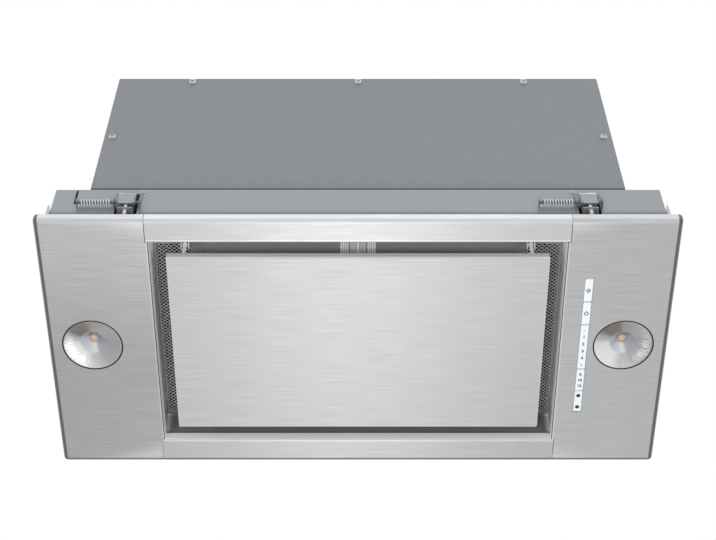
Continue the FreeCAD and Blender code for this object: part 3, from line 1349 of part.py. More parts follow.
# Spring leaves on the sides, which centre the hood in the cabinet's cut-out

LEAF_SIZES = {
    "leaf_inset": 0.5,
    "leaf_width": 3,
    "leaf_low": 9,
    "leaf_top": 34,
    "leaf_foot": 2.4,
    "leaf_out": 3.4,
}
sizes(LEAF_SIZES)
follows({"leaf_front": "casing_depth/2-leaf_inset"})
leaf_rise = "(leaf_top-leaf_low)"
leaves = []
for index, sign in enumerate((-1, 1)):
    fin = [
        (CASE_X, "leaf_low"),
        (CASE_X + "+leaf_foot", "leaf_low"),
        (CASE_X + "+leaf_out", f"leaf_low+0.55*{leaf_rise}"),
        (CASE_X + "+0.9*leaf_out", f"leaf_low+0.85*{leaf_rise}"),
        (CASE_X + "+0.65*leaf_out", "leaf_top"),
        (CASE_X + "+0.3*leaf_out", f"leaf_low+0.85*{leaf_rise}"),
        (CASE_X, f"leaf_low+0.5*{leaf_rise}"),
    ]
    leaves.append(slab(f"side_leaf_{index}", [[(f"{sign}*({x})", z) for x, z in fin]],
                       "leaf_front-leaf_width", "leaf_front", "XZ"))
node("side_clips", group("side_clips", *leaves))

# Control box and mains gland in the housing, LED driver under the casing's top

CONTROLS_SIZES = {
    "power_end": 8.5,
    "power_width": 62,
    "power_front": 40,
    "power_rear_gap": 23,
    "power_height": 85,
    "driver_end": 23,
    "driver_width": 48,
    "driver_front": 70,
    "driver_depth": 110,
    "driver_height": 16,
    "gland_flange": 11,
    "gland_flange_height": 3,
    "gland_height": 14,
    "gland_bore": 4,
    "gland_below": 8,
}
sizes(CONTROLS_SIZES)
follows({
    "power_left": "housing_width/2-power_end",
    "power_rear": "housing_depth/2-power_rear_gap",
    "driver_left": "casing_width/2-driver_end",
})
power = body("control_box")
pad(power, "power_box_solid", [rectangle(("-power_left", "-(power_left-power_width)"),
                                         ("-power_front", "power_rear"))],
    "casing_top+sheet", "casing_top+sheet+power_height")
rounded(power, "power_box_round", "casing_bend", lambda e: upright(e))
node("control_box", power)
driver = body("led_driver")
pad(driver, "driver_solid", [rectangle(("-driver_left", "-(driver_left-driver_width)"),
                                       ("driver_front-driver_depth/2-driver_height",
                                        "driver_front+driver_height"))],
    f"{UNDER_TOP}-driver_height", UNDER_TOP)
rounded(driver, "driver_round", "casing_bend", lambda e: upright(e))
node("led_driver", driver)
gland = body("cable_gland")
pad(gland, "gland_nut", [("gland_x", "gland_y", "gland_flange"), ("gland_x", "gland_y", "gland_bore")],
    "housing_top", "housing_top+gland_flange_height")
pad(gland, "gland_body", [("gland_x", "gland_y", "gland_radius"), ("gland_x", "gland_y", "gland_bore")],
    "housing_top-gland_below", "housing_top+gland_height")
node("cable_gland", gland)

# Checks and files

doc.recompute()
for thing in doc.Objects:
    if "Invalid" in thing.State or "Error" in thing.State:
        raise ValueError(f"{thing.Name} failed: {thing.State}")
for name, thing in nodes.items():
    shape = thing.Shape
    if shape.isNull() or not shape.isValid() or not shape.Solids:
        raise ValueError(f"{name} is not a valid solid")
for name, thing in nodes.items():
    thing.Shape.exportStep(f"parts/{name}.step")
print(f"{len(nodes)} nodes")
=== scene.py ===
import json
import math

import bmesh
import bpy
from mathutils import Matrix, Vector


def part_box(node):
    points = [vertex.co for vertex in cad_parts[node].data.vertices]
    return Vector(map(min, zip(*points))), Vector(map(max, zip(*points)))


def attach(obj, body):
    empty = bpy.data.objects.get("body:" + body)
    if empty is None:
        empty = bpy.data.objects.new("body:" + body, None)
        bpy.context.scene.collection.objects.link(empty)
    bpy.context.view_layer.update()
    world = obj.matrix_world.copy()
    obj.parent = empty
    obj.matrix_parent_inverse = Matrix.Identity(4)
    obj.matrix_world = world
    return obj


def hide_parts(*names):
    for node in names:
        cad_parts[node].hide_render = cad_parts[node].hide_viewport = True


# Frame and camera.
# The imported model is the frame: everything here is in metres and stands where the CAD says.
# The camera stands below and in front of the hood and looks up at its underside.
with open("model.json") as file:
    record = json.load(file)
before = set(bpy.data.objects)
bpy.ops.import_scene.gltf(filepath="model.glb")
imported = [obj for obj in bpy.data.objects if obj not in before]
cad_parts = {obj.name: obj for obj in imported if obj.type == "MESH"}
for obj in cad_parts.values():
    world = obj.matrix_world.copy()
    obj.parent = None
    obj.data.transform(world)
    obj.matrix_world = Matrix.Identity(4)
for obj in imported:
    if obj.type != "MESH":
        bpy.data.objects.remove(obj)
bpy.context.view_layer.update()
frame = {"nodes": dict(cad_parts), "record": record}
nodes = frame["nodes"]
record = frame["record"]
body_of = {name: body for body, members in record["behaviour"]["bodies"].items() for name in members}
MM = 0.001
scene = bpy.context.scene
scene.view_settings.view_transform = "Standard"
camera_place = Vector((0, -903.99, -1203)) * MM
looking_along = Vector((0, 0.5626, 0.8267))
sensor_width = 36
lens_length = 80.65
near_limit = 10 * MM
camera_data = bpy.data.cameras.new("camera")
camera_data.sensor_width = sensor_width
camera_data.lens = lens_length
camera_data.clip_start = near_limit
camera = bpy.data.objects.new("camera", camera_data)
camera.location = camera_place
camera.rotation_mode = "QUATERNION"
camera.rotation_quaternion = looking_along.to_track_quat("-Z", "Y")
scene.collection.objects.link(camera)
scene.camera = camera


# Studio: a white room, a pale matt floor well below the hood, and six large soft lamps.
# The brushed steel mirrors what lies low behind the hood, where a lamp a little brighter than the room
# gives it a soft bright band. The lamps beside the camera reach into the gap round the rim panel.
def linear(code):
    """The linear colour of an sRGB hex value."""
    values = [int(code[i:i + 2], 16) / 255 for i in (1, 3, 5)]
    return [v / 12.92 if v <= 0.04045 else ((v + 0.055) / 1.055) ** 2.4 for v in values] + [1]


def put(tree, kind, inputs=None, **settings):
    """Add a node with its settings. An input is a number, a hex colour, or the output that feeds it."""
    added = tree.nodes.new(kind)
    for name, setting in settings.items():
        setattr(added, name, setting)
    for name, given in (inputs or {}).items():
        if isinstance(given, bpy.types.NodeSocket):
            tree.links.new(given, added.inputs[name])
        elif isinstance(given, str):
            added.inputs[name].default_value = linear(given)
        else:
            added.inputs[name].default_value = given
    return added


def number(tree, operation, *given):
    """The result of a sum on numbers or outputs."""
    return put(tree, "ShaderNodeMath", dict(enumerate(given)), operation=operation).outputs[0]


WHITE = "#FFFFFF"
ROOM = "#F2F3F4"
room_strength = 0.75
world = bpy.data.worlds.new("white_room")
scene.world = world
world.use_nodes = True
tree = world.node_tree
tree.nodes.clear()
rays = put(tree, "ShaderNodeLightPath")
looked_at = number(tree, "MAXIMUM", rays.outputs["Is Camera Ray"], rays.outputs["Is Glossy Ray"])
shown = number(tree, "MAXIMUM", looked_at, rays.outputs["Is Transmission Ray"])
room = put(tree, "ShaderNodeBackground", {"Color": ROOM, "Strength": room_strength})
white = put(tree, "ShaderNodeBackground", {"Color": WHITE, "Strength": 1})
mixed = put(tree, "ShaderNodeMixShader", {0: shown, 1: room.outputs[0], 2: white.outputs[0]})
put(tree, "ShaderNodeOutputWorld", {"Surface": mixed.outputs[0]})

# Each row has a lamp's name, place and size in metres, power in watts, and whether the steel mirrors it.
LAMPS = (
    ("front_lamp", (0.5, -2.6, 1.2), (1.6, 1.6), 6, False),
    ("camera_lamp", (-0.12, -1.0, -1.5), (0.5, 0.5), 15, False),
    ("left_lamp", (-0.9, -0.7, -1.2), (0.5, 0.5), 6.5, False),
    ("right_lamp", (0.9, -0.7, -1.2), (0.5, 0.5), 6.5, False),
    ("mirrored_lamp", (-0.03, 1.05, -1.9), (0.35, 0.9), 1.7, True),
    ("top_lamp", (0.2, 0.9, 2.6), (2.2, 2.2), 22, True),
)
lit_point = Vector((0, 0, 100 * MM))
for name, place, size, power, mirrored in LAMPS:
    data = bpy.data.lights.new(name, "AREA")
    data.shape = "RECTANGLE"
    data.size = size[0]
    data.size_y = size[1]
    data.energy = power
    lamp = bpy.data.objects.new(name, data)
    lamp.location = place
    lamp.visible_glossy = mirrored
    lamp.rotation_mode = "QUATERNION"
    lamp.rotation_quaternion = (lit_point - Vector(place)).to_track_quat("-Z", "Y")
    scene.collection.objects.link(lamp)

floor_level = -2.7
floor_half = 12
floor_mesh = bpy.data.meshes.new("floor")
corner_signs = ((-1, -1), (1, -1), (1, 1), (-1, 1))
floor_corners = [(x * floor_half, y * floor_half, floor_level) for x, y in corner_signs]
floor_mesh.from_pydata(floor_corners, [], [(0, 1, 2, 3)])
floor = bpy.data.objects.new("floor", floor_mesh)
scene.collection.objects.link(floor)
FLOOR = "#FAFAF9"
floor_roughness = 0.9
floor_paint = bpy.data.materials.new("matt_floor_paint")
floor_paint.use_nodes = True
floor_shader = floor_paint.node_tree.nodes["Principled BSDF"]
floor_shader.inputs["Base Color"].default_value = linear(FLOOR)
floor_shader.inputs["Roughness"].default_value = floor_roughness
floor_mesh.materials.append(floor_paint)


# Trim trays: two end panels, a front rail and a rear rail.
# Each is 1 mm stainless sheet, folded down at its edges and brushed along the hood before it is folded.
# Brushing leaves long fine lines that smear a highlight across them.
def principled(name, **inputs):
    """A material with one principled shader. Returns the material, the shader and the tree."""
    material = bpy.data.materials.new(name)
    material.use_nodes = True
    tree = material.node_tree
    shader = tree.nodes["Principled BSDF"]
    for key, given in inputs.items():
        socket = shader.inputs[key.replace("_", " ")]
        socket.default_value = linear(given) if isinstance(given, str) else given
    return material, shader, tree


def ramp(tree, value, start, end, low=0.0, high=1.0, curve="SMOOTHSTEP"):
    """A change from low to high while value goes from start to end."""
    return put(tree, "ShaderNodeMapRange", {0: value, 1: start, 2: end, 3: low, 4: high},
               interpolation_type=curve).outputs[0]


def even(tree, value, start, end, low=0.0, high=1.0):
    """A straight change from low to high while value goes from start to end."""
    return ramp(tree, value, start, end, low, high, "LINEAR")


def blend(tree, share, first, second):
    """A colour that goes from the first to the second as share goes from 0 to 1."""
    return put(tree, "ShaderNodeMix", {"Factor": share, 6: first, 7: second}, data_type="RGBA").outputs[2]


def times(tree, colour, share):
    """A colour, lighter or darker by a share."""
    return put(tree, "ShaderNodeVectorMath", {0: colour, "Scale": share}, operation="SCALE").outputs[0]


def around(tree, value, place_mm, blur_mm, low=0.0, high=1.0):
    """A short change from low to high, centred on a place in mm."""
    return ramp(tree, value, (place_mm - blur_mm) * MM, (place_mm + blur_mm) * MM, low, high)


# The lines of the brushing, and how they change the colour, the height and the roughness.
line_mm = 0.8
line_length_mm = 45
LINE_LAYER_SHARES = ((1, 0.7), (2.6, 0.22), (9, 0.08))
line_contrast = (0.36, 0.64)
line_bump = 0.006
line_depth = 0.3 * MM
LINE_ROUGHNESS_SHARES = (0.97, 1.03)
# The painted shade beyond the folds, the painted highlight on the skirt at the front, and how far back the
# painted light changes.
FOLD_PAINTED_SHADE = "#74787A"
fold_blur_mm = (-0.4, 0.6)
front_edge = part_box("front_rail")[0][1]
skirt_highlight_share = 1.2
skirt_highlight_end = (front_edge + 2.2 * MM, front_edge + 6.5 * MM)
rail_light_fade_end = 140 * MM
# The painted highlight on the bend round the mouth, the walls inside it with painted shade at their top,
# and the painted shade in the crease between them.
RAIL_LIP_HIGHLIGHT = (0.9, 1.8, 1.3, 1.0)
WALL = "#D2D3D4"
WALL_TOP_PAINTED_SHADE = "#5A5C5F"
wall_metal = 0.05
wall_blur_mm = 0.2
wall_slopes = (0.25, 0.6)
wall_top_shade_mm = 9.7
wall_top_shade_blur_mm = 0.5
crease_shade_slopes = ((0.2, 0.4), (0.88, 0.97))
crease_shade_reach = (2.5 * MM, 3.0 * MM)


def brush_lines(tree, place):
    """The height of fine lines along X, in layers of different coarseness."""
    layers = []
    for coarseness, weight in LINE_LAYER_SHARES:
        fineness = 1 / (line_mm * MM * coarseness)
        scale = (1 / (line_length_mm * MM), fineness, fineness)
        stretch = put(tree, "ShaderNodeMapping", {"Vector": place, "Scale": scale})
        lines = put(tree, "ShaderNodeTexNoise", {"Vector": stretch.outputs[0], "Scale": 1.0, "Detail": 1})
        layers.append(number(tree, "MULTIPLY", lines.outputs["Fac"], weight))
    added = layers[0]
    for layer in layers[1:]:
        added = number(tree, "ADD", added, layer)
    return added


def brushed(name, pale, dark, roughness, mouth, folds, front_light_share, rear_light_share, light_fade_end=rail_light_fade_end,
            lip_highlight=RAIL_LIP_HIGHLIGHT, wall=WALL, wall_top_shade=WALL_TOP_PAINTED_SHADE, wall_reach_mm=0, crease_shade_share=1.0):
    """Brushed metal with its lines along X, drawn 0.8 mm wide because the real ones are too fine to show.
    Beyond folds, in mm from the middle, the sheet is darkened with painted shade, and the front skirt is
    lightened with a painted highlight.
    Round the mouth the bend is lightened with a painted highlight and the crease darkened with painted
    shade, and the walls in it are unbrushed and dull, with painted shade at their top.
    The lip says where the painted highlight on the bend starts and ends, in mm outside the mouth, and the
    share of each.
    The colour is scaled by painted light, from the front share at the front edge to the rear share at the
    fade end."""
    material, shader, tree = principled(name, Metallic=1.0, Anisotropic=0.6)
    place = put(tree, "ShaderNodeTexCoord").outputs["Object"]
    lines = brush_lines(tree, place)
    level = even(tree, lines, *line_contrast)
    rough = even(tree, level, 0.0, 1.0, *[roughness * share for share in LINE_ROUGHNESS_SHARES])
    relief = put(tree, "ShaderNodeBump", {"Height": lines, "Strength": line_bump, "Distance": line_depth})
    along = put(tree, "ShaderNodeTangent", direction_type="RADIAL", axis="X")
    axes = put(tree, "ShaderNodeSeparateXYZ", {0: place})
    reach = [number(tree, "ABSOLUTE", axes.outputs[i]) for i in (0, 1)]
    # Painted light: the colour is lighter or darker from the front edge to the fade end.
    share = ramp(tree, axes.outputs[1], front_edge, light_fade_end, front_light_share, rear_light_share)
    if folds:
        # The front skirt is lightened: a painted highlight.
        share = number(tree, "MULTIPLY", share, ramp(tree, axes.outputs[1], *skirt_highlight_end, skirt_highlight_share, 1.0))
    outside = number(tree, "MAXIMUM", number(tree, "SUBTRACT", reach[0], mouth[0] * MM),
                     number(tree, "SUBTRACT", reach[1], mouth[1] * MM))
    # The bend round the mouth is lightened: a painted highlight.
    painted_lip_highlight = ramp(tree, outside, lip_highlight[0] * MM, lip_highlight[1] * MM, lip_highlight[2], lip_highlight[3])
    tint = times(tree, blend(tree, level, pale, dark), number(tree, "MULTIPLY", share, painted_lip_highlight))
    # Beyond the folds the colour is darkened: painted shade.
    if folds:
        over = [ramp(tree, value, (fold + fold_blur_mm[0]) * MM, (fold + fold_blur_mm[1]) * MM)
                for value, fold in zip((reach[0], axes.outputs[1]), folds)]
        tint = blend(tree, number(tree, "MAXIMUM", *over), tint, FOLD_PAINTED_SHADE)
    facing = put(tree, "ShaderNodeSeparateXYZ", {0: put(tree, "ShaderNodeNewGeometry").outputs["Normal"]})
    flatness = number(tree, "ABSOLUTE", facing.outputs[2])
    # The crease between the bend and the walls is darkened: painted shade.
    crease_shade = number(tree, "MULTIPLY", ramp(tree, flatness, *crease_shade_slopes[0]),
                    ramp(tree, flatness, *crease_shade_slopes[1], 1.0, 0.0))
    crease_shade = number(tree, "MULTIPLY", crease_shade, ramp(tree, outside, *crease_shade_reach, 1.0, 0.0))
    tint = times(tree, tint, number(tree, "MULTIPLY_ADD", crease_shade, crease_shade_share - 1.0, 1.0))
    upright = number(tree, "MULTIPLY", ramp(tree, flatness, *wall_slopes, 1.0, 0.0),
                     around(tree, outside, wall_reach_mm, wall_blur_mm, 1.0, 0.0))
    # The top of the walls is darkened: painted shade.
    high = around(tree, axes.outputs[2], wall_top_shade_mm, wall_top_shade_blur_mm)
    tint = blend(tree, upright, tint, blend(tree, high, wall, wall_top_shade))
    metal = number(tree, "MULTIPLY_ADD", upright, wall_metal - 1.0, 1.0)
    tree.links.new(metal, shader.inputs["Metallic"])
    tree.links.new(tint, shader.inputs["Base Color"])
    tree.links.new(rough, shader.inputs["Roughness"])
    tree.links.new(relief.outputs[0], shader.inputs["Normal"])
    tree.links.new(along.outputs[0], shader.inputs["Tangent"])
    return material


# How the copies are joined and smoothed, and the widths of their rounded edges.
join_distance = 0.001 * MM
flat_angle = math.radians(0.4)
edge_angle = math.radians(50)
smooth_angle = math.radians(30)
turned_angle = math.radians(40)
board_edge = 0.05 * MM
pin_edge = 0.06 * MM
thin_edge = 0.08 * MM
sheet_edge = 0.1 * MM
casing_edge = 0.12 * MM
folded_edge = 0.15 * MM
rib_edge = 0.2 * MM
soft_edge = 0.25 * MM


def dressed(name, material, edge, sharp_from=smooth_angle):
    """A joined, smooth copy of a CAD node with narrow rounded edges, in the node's place."""
    mesh = nodes[name].data.copy()
    mesh.name = name + "_dressed"
    work = bmesh.new()
    work.from_mesh(mesh)
    bmesh.ops.remove_doubles(work, verts=work.verts, dist=join_distance)
    if edge:
        bmesh.ops.dissolve_limit(work, angle_limit=flat_angle, verts=work.verts, edges=work.edges)
    work.to_mesh(mesh)
    work.free()
    mesh.materials.clear()
    mesh.materials.append(material)
    for face in mesh.polygons:
        face.use_smooth = True
    mesh.set_sharp_from_angle(angle=sharp_from)
    piece = bpy.data.objects.new(name + "_dressed", mesh)
    scene.collection.objects.link(piece)
    if edge:
        bevel = piece.modifiers.new("edges", "BEVEL")
        bevel.width = edge
        bevel.segments = 2
        bevel.limit_method = "ANGLE"
        bevel.angle_limit = edge_angle
    flat = piece.modifiers.new("flat_faces", "WEIGHTED_NORMAL")
    flat.keep_sharp = True
    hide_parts(name)
    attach(piece, body_of[name])


bend_mm = 4.3
bend_inside_mm = 1.2
fold_places = [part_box("end_panel_right")[1][0] / MM - bend_mm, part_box("rear_rail")[1][1] / MM - bend_mm]
mouth_half = [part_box("end_panel_right")[0][0] / MM + bend_inside_mm,
              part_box("rear_rail")[0][1] / MM + bend_inside_mm]
rail_steel = brushed("brushed_stainless_rails", "#E0E1E2", "#D4D5D6", 0.36, mouth_half, fold_places,
                     front_light_share=1.045, rear_light_share=0.87)
# Each row has a side and its painted light's shares at the front and the rear of the end panel.
END_LIGHT_SHARES = (("left", 1.21, 0.92), ("right", 1.12, 1.11))
end_light_fade_end = 30 * MM
END_LIP_HIGHLIGHT = (0.6, 1.4, 1.25, 1.0)
END_WALL = "#FAFAFA"
for side, front_light_share, rear_light_share in END_LIGHT_SHARES:
    # The end panels' crease is strongly darkened as painted shade, and their lip is lightened as a painted
    # highlight.
    end_steel = brushed(f"brushed_stainless_{side}_end", "#CBCCCD", "#BDBEBF", 0.36, mouth_half,
                        fold_places, front_light_share, rear_light_share, end_light_fade_end, END_LIP_HIGHLIGHT, END_WALL, END_WALL,
                        crease_shade_share=0.2)
    dressed(f"end_panel_{side}", end_steel, 0)
for end in ("front", "rear"):
    dressed(f"{end}_rail", rail_steel, folded_edge)


# Plain finishes: plated and coated steel, aluminium, plastics and print, some with painted shade, and a
# dark strip of painted shadow, each with an even grain.
grain_contrast = (0.3, 0.7)
GRAIN_ROUGHNESS_SHARES = (0.9, 1.1)
grain_depth_share = 0.1
shade_zone_end_blur_mm = 16


def grained(name, pale, dark, metallic, roughness, grain_mm, bump=0.1, spot_mm=0, shade_zone=None, shade_zone_end_mm=0):
    """A surface with an even grain, and where spot_mm is given, larger spots of the darker colour.
    A zone is painted shade: an axis, two places on it in mm, and the shares of the colour before and after
    them.
    From the given end, in mm from the middle along the hood, the painted shade is left out."""
    material, shader, tree = principled(name, Metallic=metallic)
    place = put(tree, "ShaderNodeTexCoord").outputs["Object"]
    fine = put(tree, "ShaderNodeTexNoise", {"Vector": place, "Scale": 1 / (grain_mm * MM), "Detail": 2})
    level = fine.outputs["Fac"]
    if spot_mm:
        spots = put(tree, "ShaderNodeTexVoronoi", {"Vector": place, "Scale": 1 / (spot_mm * MM)})
        tone = put(tree, "ShaderNodeSeparateColor", {"Color": spots.outputs["Color"]})
        level = number(tree, "MULTIPLY", number(tree, "ADD", level, tone.outputs[0]), 0.5)
    spread = even(tree, level, *grain_contrast)
    rough = even(tree, spread, 0.0, 1.0, *[roughness * share for share in GRAIN_ROUGHNESS_SHARES])
    relief = put(tree, "ShaderNodeBump", {"Height": fine.outputs["Fac"], "Strength": bump,
                                          "Distance": grain_mm * MM * grain_depth_share})
    tint = blend(tree, spread, pale, dark)
    if shade_zone:
        axis, start_mm, stop_mm, share_before, share_after = shade_zone
        axes = put(tree, "ShaderNodeSeparateXYZ", {0: place})
        share = ramp(tree, axes.outputs[axis], start_mm * MM, stop_mm * MM, share_before, share_after)
        if shade_zone_end_mm:
            reach = number(tree, "ABSOLUTE", axes.outputs[0])
            share = number(tree, "MAXIMUM", share,
                           ramp(tree, reach, (shade_zone_end_mm - shade_zone_end_blur_mm) * MM, shade_zone_end_mm * MM))
        tint = times(tree, tint, share)
    tree.links.new(tint, shader.inputs["Base Color"])
    tree.links.new(rough, shader.inputs["Roughness"])
    tree.links.new(relief.outputs[0], shader.inputs["Normal"])
    return material


# Each row has a finish's name, its pale and its dark colour, how metallic and how rough it is, the size
# of its grain in mm, and how strongly the grain is raised. The size of its spots, its zone of painted shade
# and the zone's end follow where it has them.
FINISHES = (
    ("zinc_coated_sheet", "#A3A7AA", "#959A9D", 0.75, 0.45, 0.5, 0.12, 5),
    ("satin_zinc_cover", "#919499", "#83868B", 0.6, 0.5, 1.3, 0.15),
    # The casing is darkened below 16 to 24 mm up: painted shade where the trim's lip shades its foot.
    ("satin_zinc_casing_painted_foot_shade", "#A1A5A9", "#979BA0", 0.7, 0.42, 0.9, 0.12, 0, (2, 16, 24, 0.64, 1.0)),
    # The intake frame is darkened towards the rear, except near its ends: painted shade.
    ("satin_zinc_intake_frame_painted_rear_shade", "#FAFAFB", "#EEEEF0", 0.05, 0.55, 0.5, 0.12, 0, (1, 92, 100, 1.0, 0.16),
     196),
    ("satin_zinc_brackets", "#8C9094", "#82868A", 0.7, 0.42, 0.9, 0.12),
    ("zinc_plated_centre_bar", "#C6C8CA", "#B6B8BA", 0.1, 0.45, 0.6, 0.1),
    ("bright_zinc_plated_steel", "#D2D4D5", "#BEC1C3", 1.0, 0.26, 0.6, 0.06),
    ("dull_zinc_plated_steel", "#F0F1F2", "#E2E4E5", 0.3, 0.3, 0.6, 0.06),
    ("spring_steel", "#C4C7C9", "#AEB1B3", 0.6, 0.3, 0.5, 0.06),
    ("dull_spring_steel_arms", "#A9ABAE", "#97999C", 0.8, 0.28, 0.5, 0.05),
    ("bright_spring_wire", "#D8DADC", "#CCCED1", 0.4, 0.25, 0.5, 0.04),
    # The pins are darkened so that the gaps between the spring's turns show painted shade.
    ("steel_pins_painted_shade", "#686B6E", "#5E6164", 0.5, 0.4, 0.5, 0.08),
    ("rolled_aluminium_frame", "#9A9C9E", "#8E9092", 0.3, 0.36, 0.8, 0.05),
    # The ribs are a much lighter copy of the frame's aluminium: painted highlight.
    ("aluminium_ribs_painted_highlight", "#E6E8E9", "#DADCDD", 0.1, 0.36, 0.8, 0.05),
    ("expanded_aluminium_mesh", "#D2D4D6", "#BABDBF", 0.4, 0.36, 0.5, 0.08),
    # The whole margin is dark grey: painted shade.
    ("mesh_margin_painted_shade", "#8B8D8F", "#7D7F81", 0.2, 0.42, 0.9, 0.2),
    # The aluminium pad is near black: painted shade behind the mesh.
    ("knitted_aluminium_pad_painted_shade", "#303234", "#161718", 0.3, 0.55, 1.6, 0.9),
    ("anodised_heat_sink", "#5B5E61", "#515457", 0.9, 0.45, 0.5, 0.08),
    ("baked_motor_paint", "#3A3D42", "#33363A", 0.2, 0.45, 0.8, 0.12),
    ("moulded_black_abs", "#25272A", "#1B1D1F", 0.0, 0.42, 0.5, 0.15),
    ("moulded_grey_abs", "#8E9193", "#84878A", 0.0, 0.45, 0.5, 0.12),
    ("moulded_white_abs", "#ECEDEE", "#E7E8E9", 0.0, 0.33, 0.4, 0.05),
    ("moulded_white_keys", "#D3D6D9", "#CED1D5", 0.0, 0.33, 0.4, 0.05),
    ("circuit_board", "#2F5A41", "#27503A", 0.0, 0.4, 0.8, 0.08),
    # A dark strip of painted shadow, for the seam between the cover and the casing.
    ("painted_seam_shadow", "#4C5054", "#44484C", 0.0, 0.8, 0.8, 0.3),
    ("printed_ink_grey", "#2C2F33", "#2C2F33", 0.0, 0.45, 0.4, 0.05),
    ("printed_ink_pale", "#787B80", "#787B80", 0.0, 0.45, 0.4, 0.05),
    ("printed_ink_black", "#1A1B1D", "#1A1B1D", 0.0, 0.45, 0.4, 0.05),
)
plain = {row[0]: grained(*row) for row in FINISHES}


# Rim panel: a stainless tray with its corners pulled round, brushed along its length like the trim.
# A plain zinc-coated plate closes its back, so that grease can't gather in it.
panel_bend_mm = 1.4
panel_half = [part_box("rim_panel")[1][axis] / MM - panel_bend_mm for axis in (0, 1)]
# As on the trim, the panel's edge gets a painted highlight and its walls get painted shade at their top.
PANEL_LIP_HIGHLIGHT = (-0.4, 0.3, 1.0, 1.25)
PANEL_WALL = "#AEAFB1"
panel_wall_reach_mm = 10
panel_steel = brushed("brushed_stainless_rim_panel", "#DCDDDE", "#D0D1D2", 0.4, panel_half, None,
                      front_light_share=1.05, rear_light_share=0.95, lip_highlight=PANEL_LIP_HIGHLIGHT, wall=PANEL_WALL,
                      wall_reach_mm=panel_wall_reach_mm)
dressed("rim_panel", panel_steel, sheet_edge)
dressed("panel_back_plate", plain["zinc_coated_sheet"], thin_edge)


# Studs, catches and hinges of the rim panel.
# Turned and pressed steel with a dull zinc plate: ball-headed studs that snap into spring jaws,
# and lugs that swing on two pins at the rear.
for name in ("panel_studs", "panel_catches", "panel_lugs", "hinge_brackets", "hinge_pins"):
    dressed(name, plain["dull_zinc_plated_steel"], pin_edge, turned_angle)


# Grease filters: an aluminium frame, an expanded mesh, a layered pad behind it and a sprung latch.
# The mesh is slit and stretched sheet, in diamonds 5 by 4 mm. Its front margin is left whole
# between the catch and the inner bar, where the latch is riveted on, and is coloured dark grey as painted
# shade.
def new_tree(name, lengths=(), counts=()):
    """A geometry tree with named inputs, its input node and a function that closes it with a material."""
    tree = bpy.data.node_groups.new(name, "GeometryNodeTree")
    tree.interface.new_socket("Places", in_out="INPUT", socket_type="NodeSocketGeometry")
    for title in lengths:
        tree.interface.new_socket(title, in_out="INPUT", socket_type="NodeSocketFloat")
    for title in counts:
        tree.interface.new_socket(title, in_out="INPUT", socket_type="NodeSocketInt")
    tree.interface.new_socket("Material", in_out="INPUT", socket_type="NodeSocketMaterial")
    tree.interface.new_socket("Geometry", in_out="OUTPUT", socket_type="NodeSocketGeometry")
    given = put(tree, "NodeGroupInput")

    def close(geometry):
        """End the tree with this geometry, made real and given the material."""
        real = put(tree, "GeometryNodeRealizeInstances", {"Geometry": geometry})
        painted = put(tree, "GeometryNodeSetMaterial", {"Geometry": real.outputs[0],
                                                        "Material": given.outputs["Material"]})
        end = put(tree, "NodeGroupOutput")
        tree.links.new(painted.outputs[0], end.inputs["Geometry"])

    return tree, given, close


def grown(name, tree, material, values, places=()):
    """A plain mesh object made by a geometry tree from these values and, where it wants them, places."""
    points = bpy.data.meshes.new(name + "_holder")
    points.from_pydata(places, [], [])
    holder = bpy.data.objects.new(name + "_holder", points)
    scene.collection.objects.link(holder)
    modifier = holder.modifiers.new("tree", "NODES")
    modifier.node_group = tree
    for item in tree.interface.items_tree:
        if item.in_out == "INPUT" and item.name == "Material":
            modifier[item.identifier] = material
        elif item.in_out == "INPUT" and item.name != "Places":
            modifier[item.identifier] = values[item.name]
    bpy.context.view_layer.update()
    seen = holder.evaluated_get(bpy.context.evaluated_depsgraph_get())
    mesh = bpy.data.meshes.new_from_object(seen)
    mesh.name = name
    bpy.data.objects.remove(holder)
    piece = bpy.data.objects.new(name, mesh)
    scene.collection.objects.link(piece)
    return piece


def vector(tree, x=0.0, y=0.0, z=0.0):
    """A vector of three numbers or outputs."""
    return put(tree, "ShaderNodeCombineXYZ", {0: x, 1: y, 2: z}).outputs[0]


# Two zigzag strands that meet at their points make a pair, and the pairs repeat from front to rear.
mesh_tree, given, close = new_tree("expanded_mesh", (
    "Left", "Front", "Height", "Half Diamond Width", "Half Diamond Depth", "Strand Width",
    "Strand Thickness", "Strand Tilt"), ("Points Across", "Row Pairs"))
profile = put(mesh_tree, "GeometryNodeCurvePrimitiveQuadrilateral", {
    "Width": given.outputs["Strand Width"], "Height": given.outputs["Strand Thickness"]})
tilted = put(mesh_tree, "GeometryNodeTransform", {
    "Geometry": profile.outputs[0], "Rotation": vector(mesh_tree, z=given.outputs["Strand Tilt"])})
position_number = put(mesh_tree, "GeometryNodeInputIndex").outputs[0]
rows = []
for phase in (0, 1):
    run = put(mesh_tree, "GeometryNodeMeshLine", {
        "Count": given.outputs["Points Across"],
        "Start Location": vector(mesh_tree, given.outputs["Left"]),
        "Offset": vector(mesh_tree, given.outputs["Half Diamond Width"])})
    shifted = number(mesh_tree, "ADD", position_number, float(phase))
    odd = number(mesh_tree, "MODULO", shifted, 2.0)
    rise = number(mesh_tree, "ADD", odd, float(phase))
    lift = number(mesh_tree, "MULTIPLY", rise, given.outputs["Half Diamond Depth"])
    zigzag = put(mesh_tree, "GeometryNodeSetPosition", {
        "Geometry": run.outputs[0], "Offset": vector(mesh_tree, 0.0, lift)})
    line = put(mesh_tree, "GeometryNodeMeshToCurve", {"Mesh": zigzag.outputs[0]})
    level_line = put(mesh_tree, "GeometryNodeSetCurveNormal", {"Curve": line.outputs[0]})
    rows.append(put(mesh_tree, "GeometryNodeCurveToMesh", {
        "Curve": level_line.outputs[0], "Profile Curve": tilted.outputs[0], "Fill Caps": True}))
pair = put(mesh_tree, "GeometryNodeJoinGeometry")
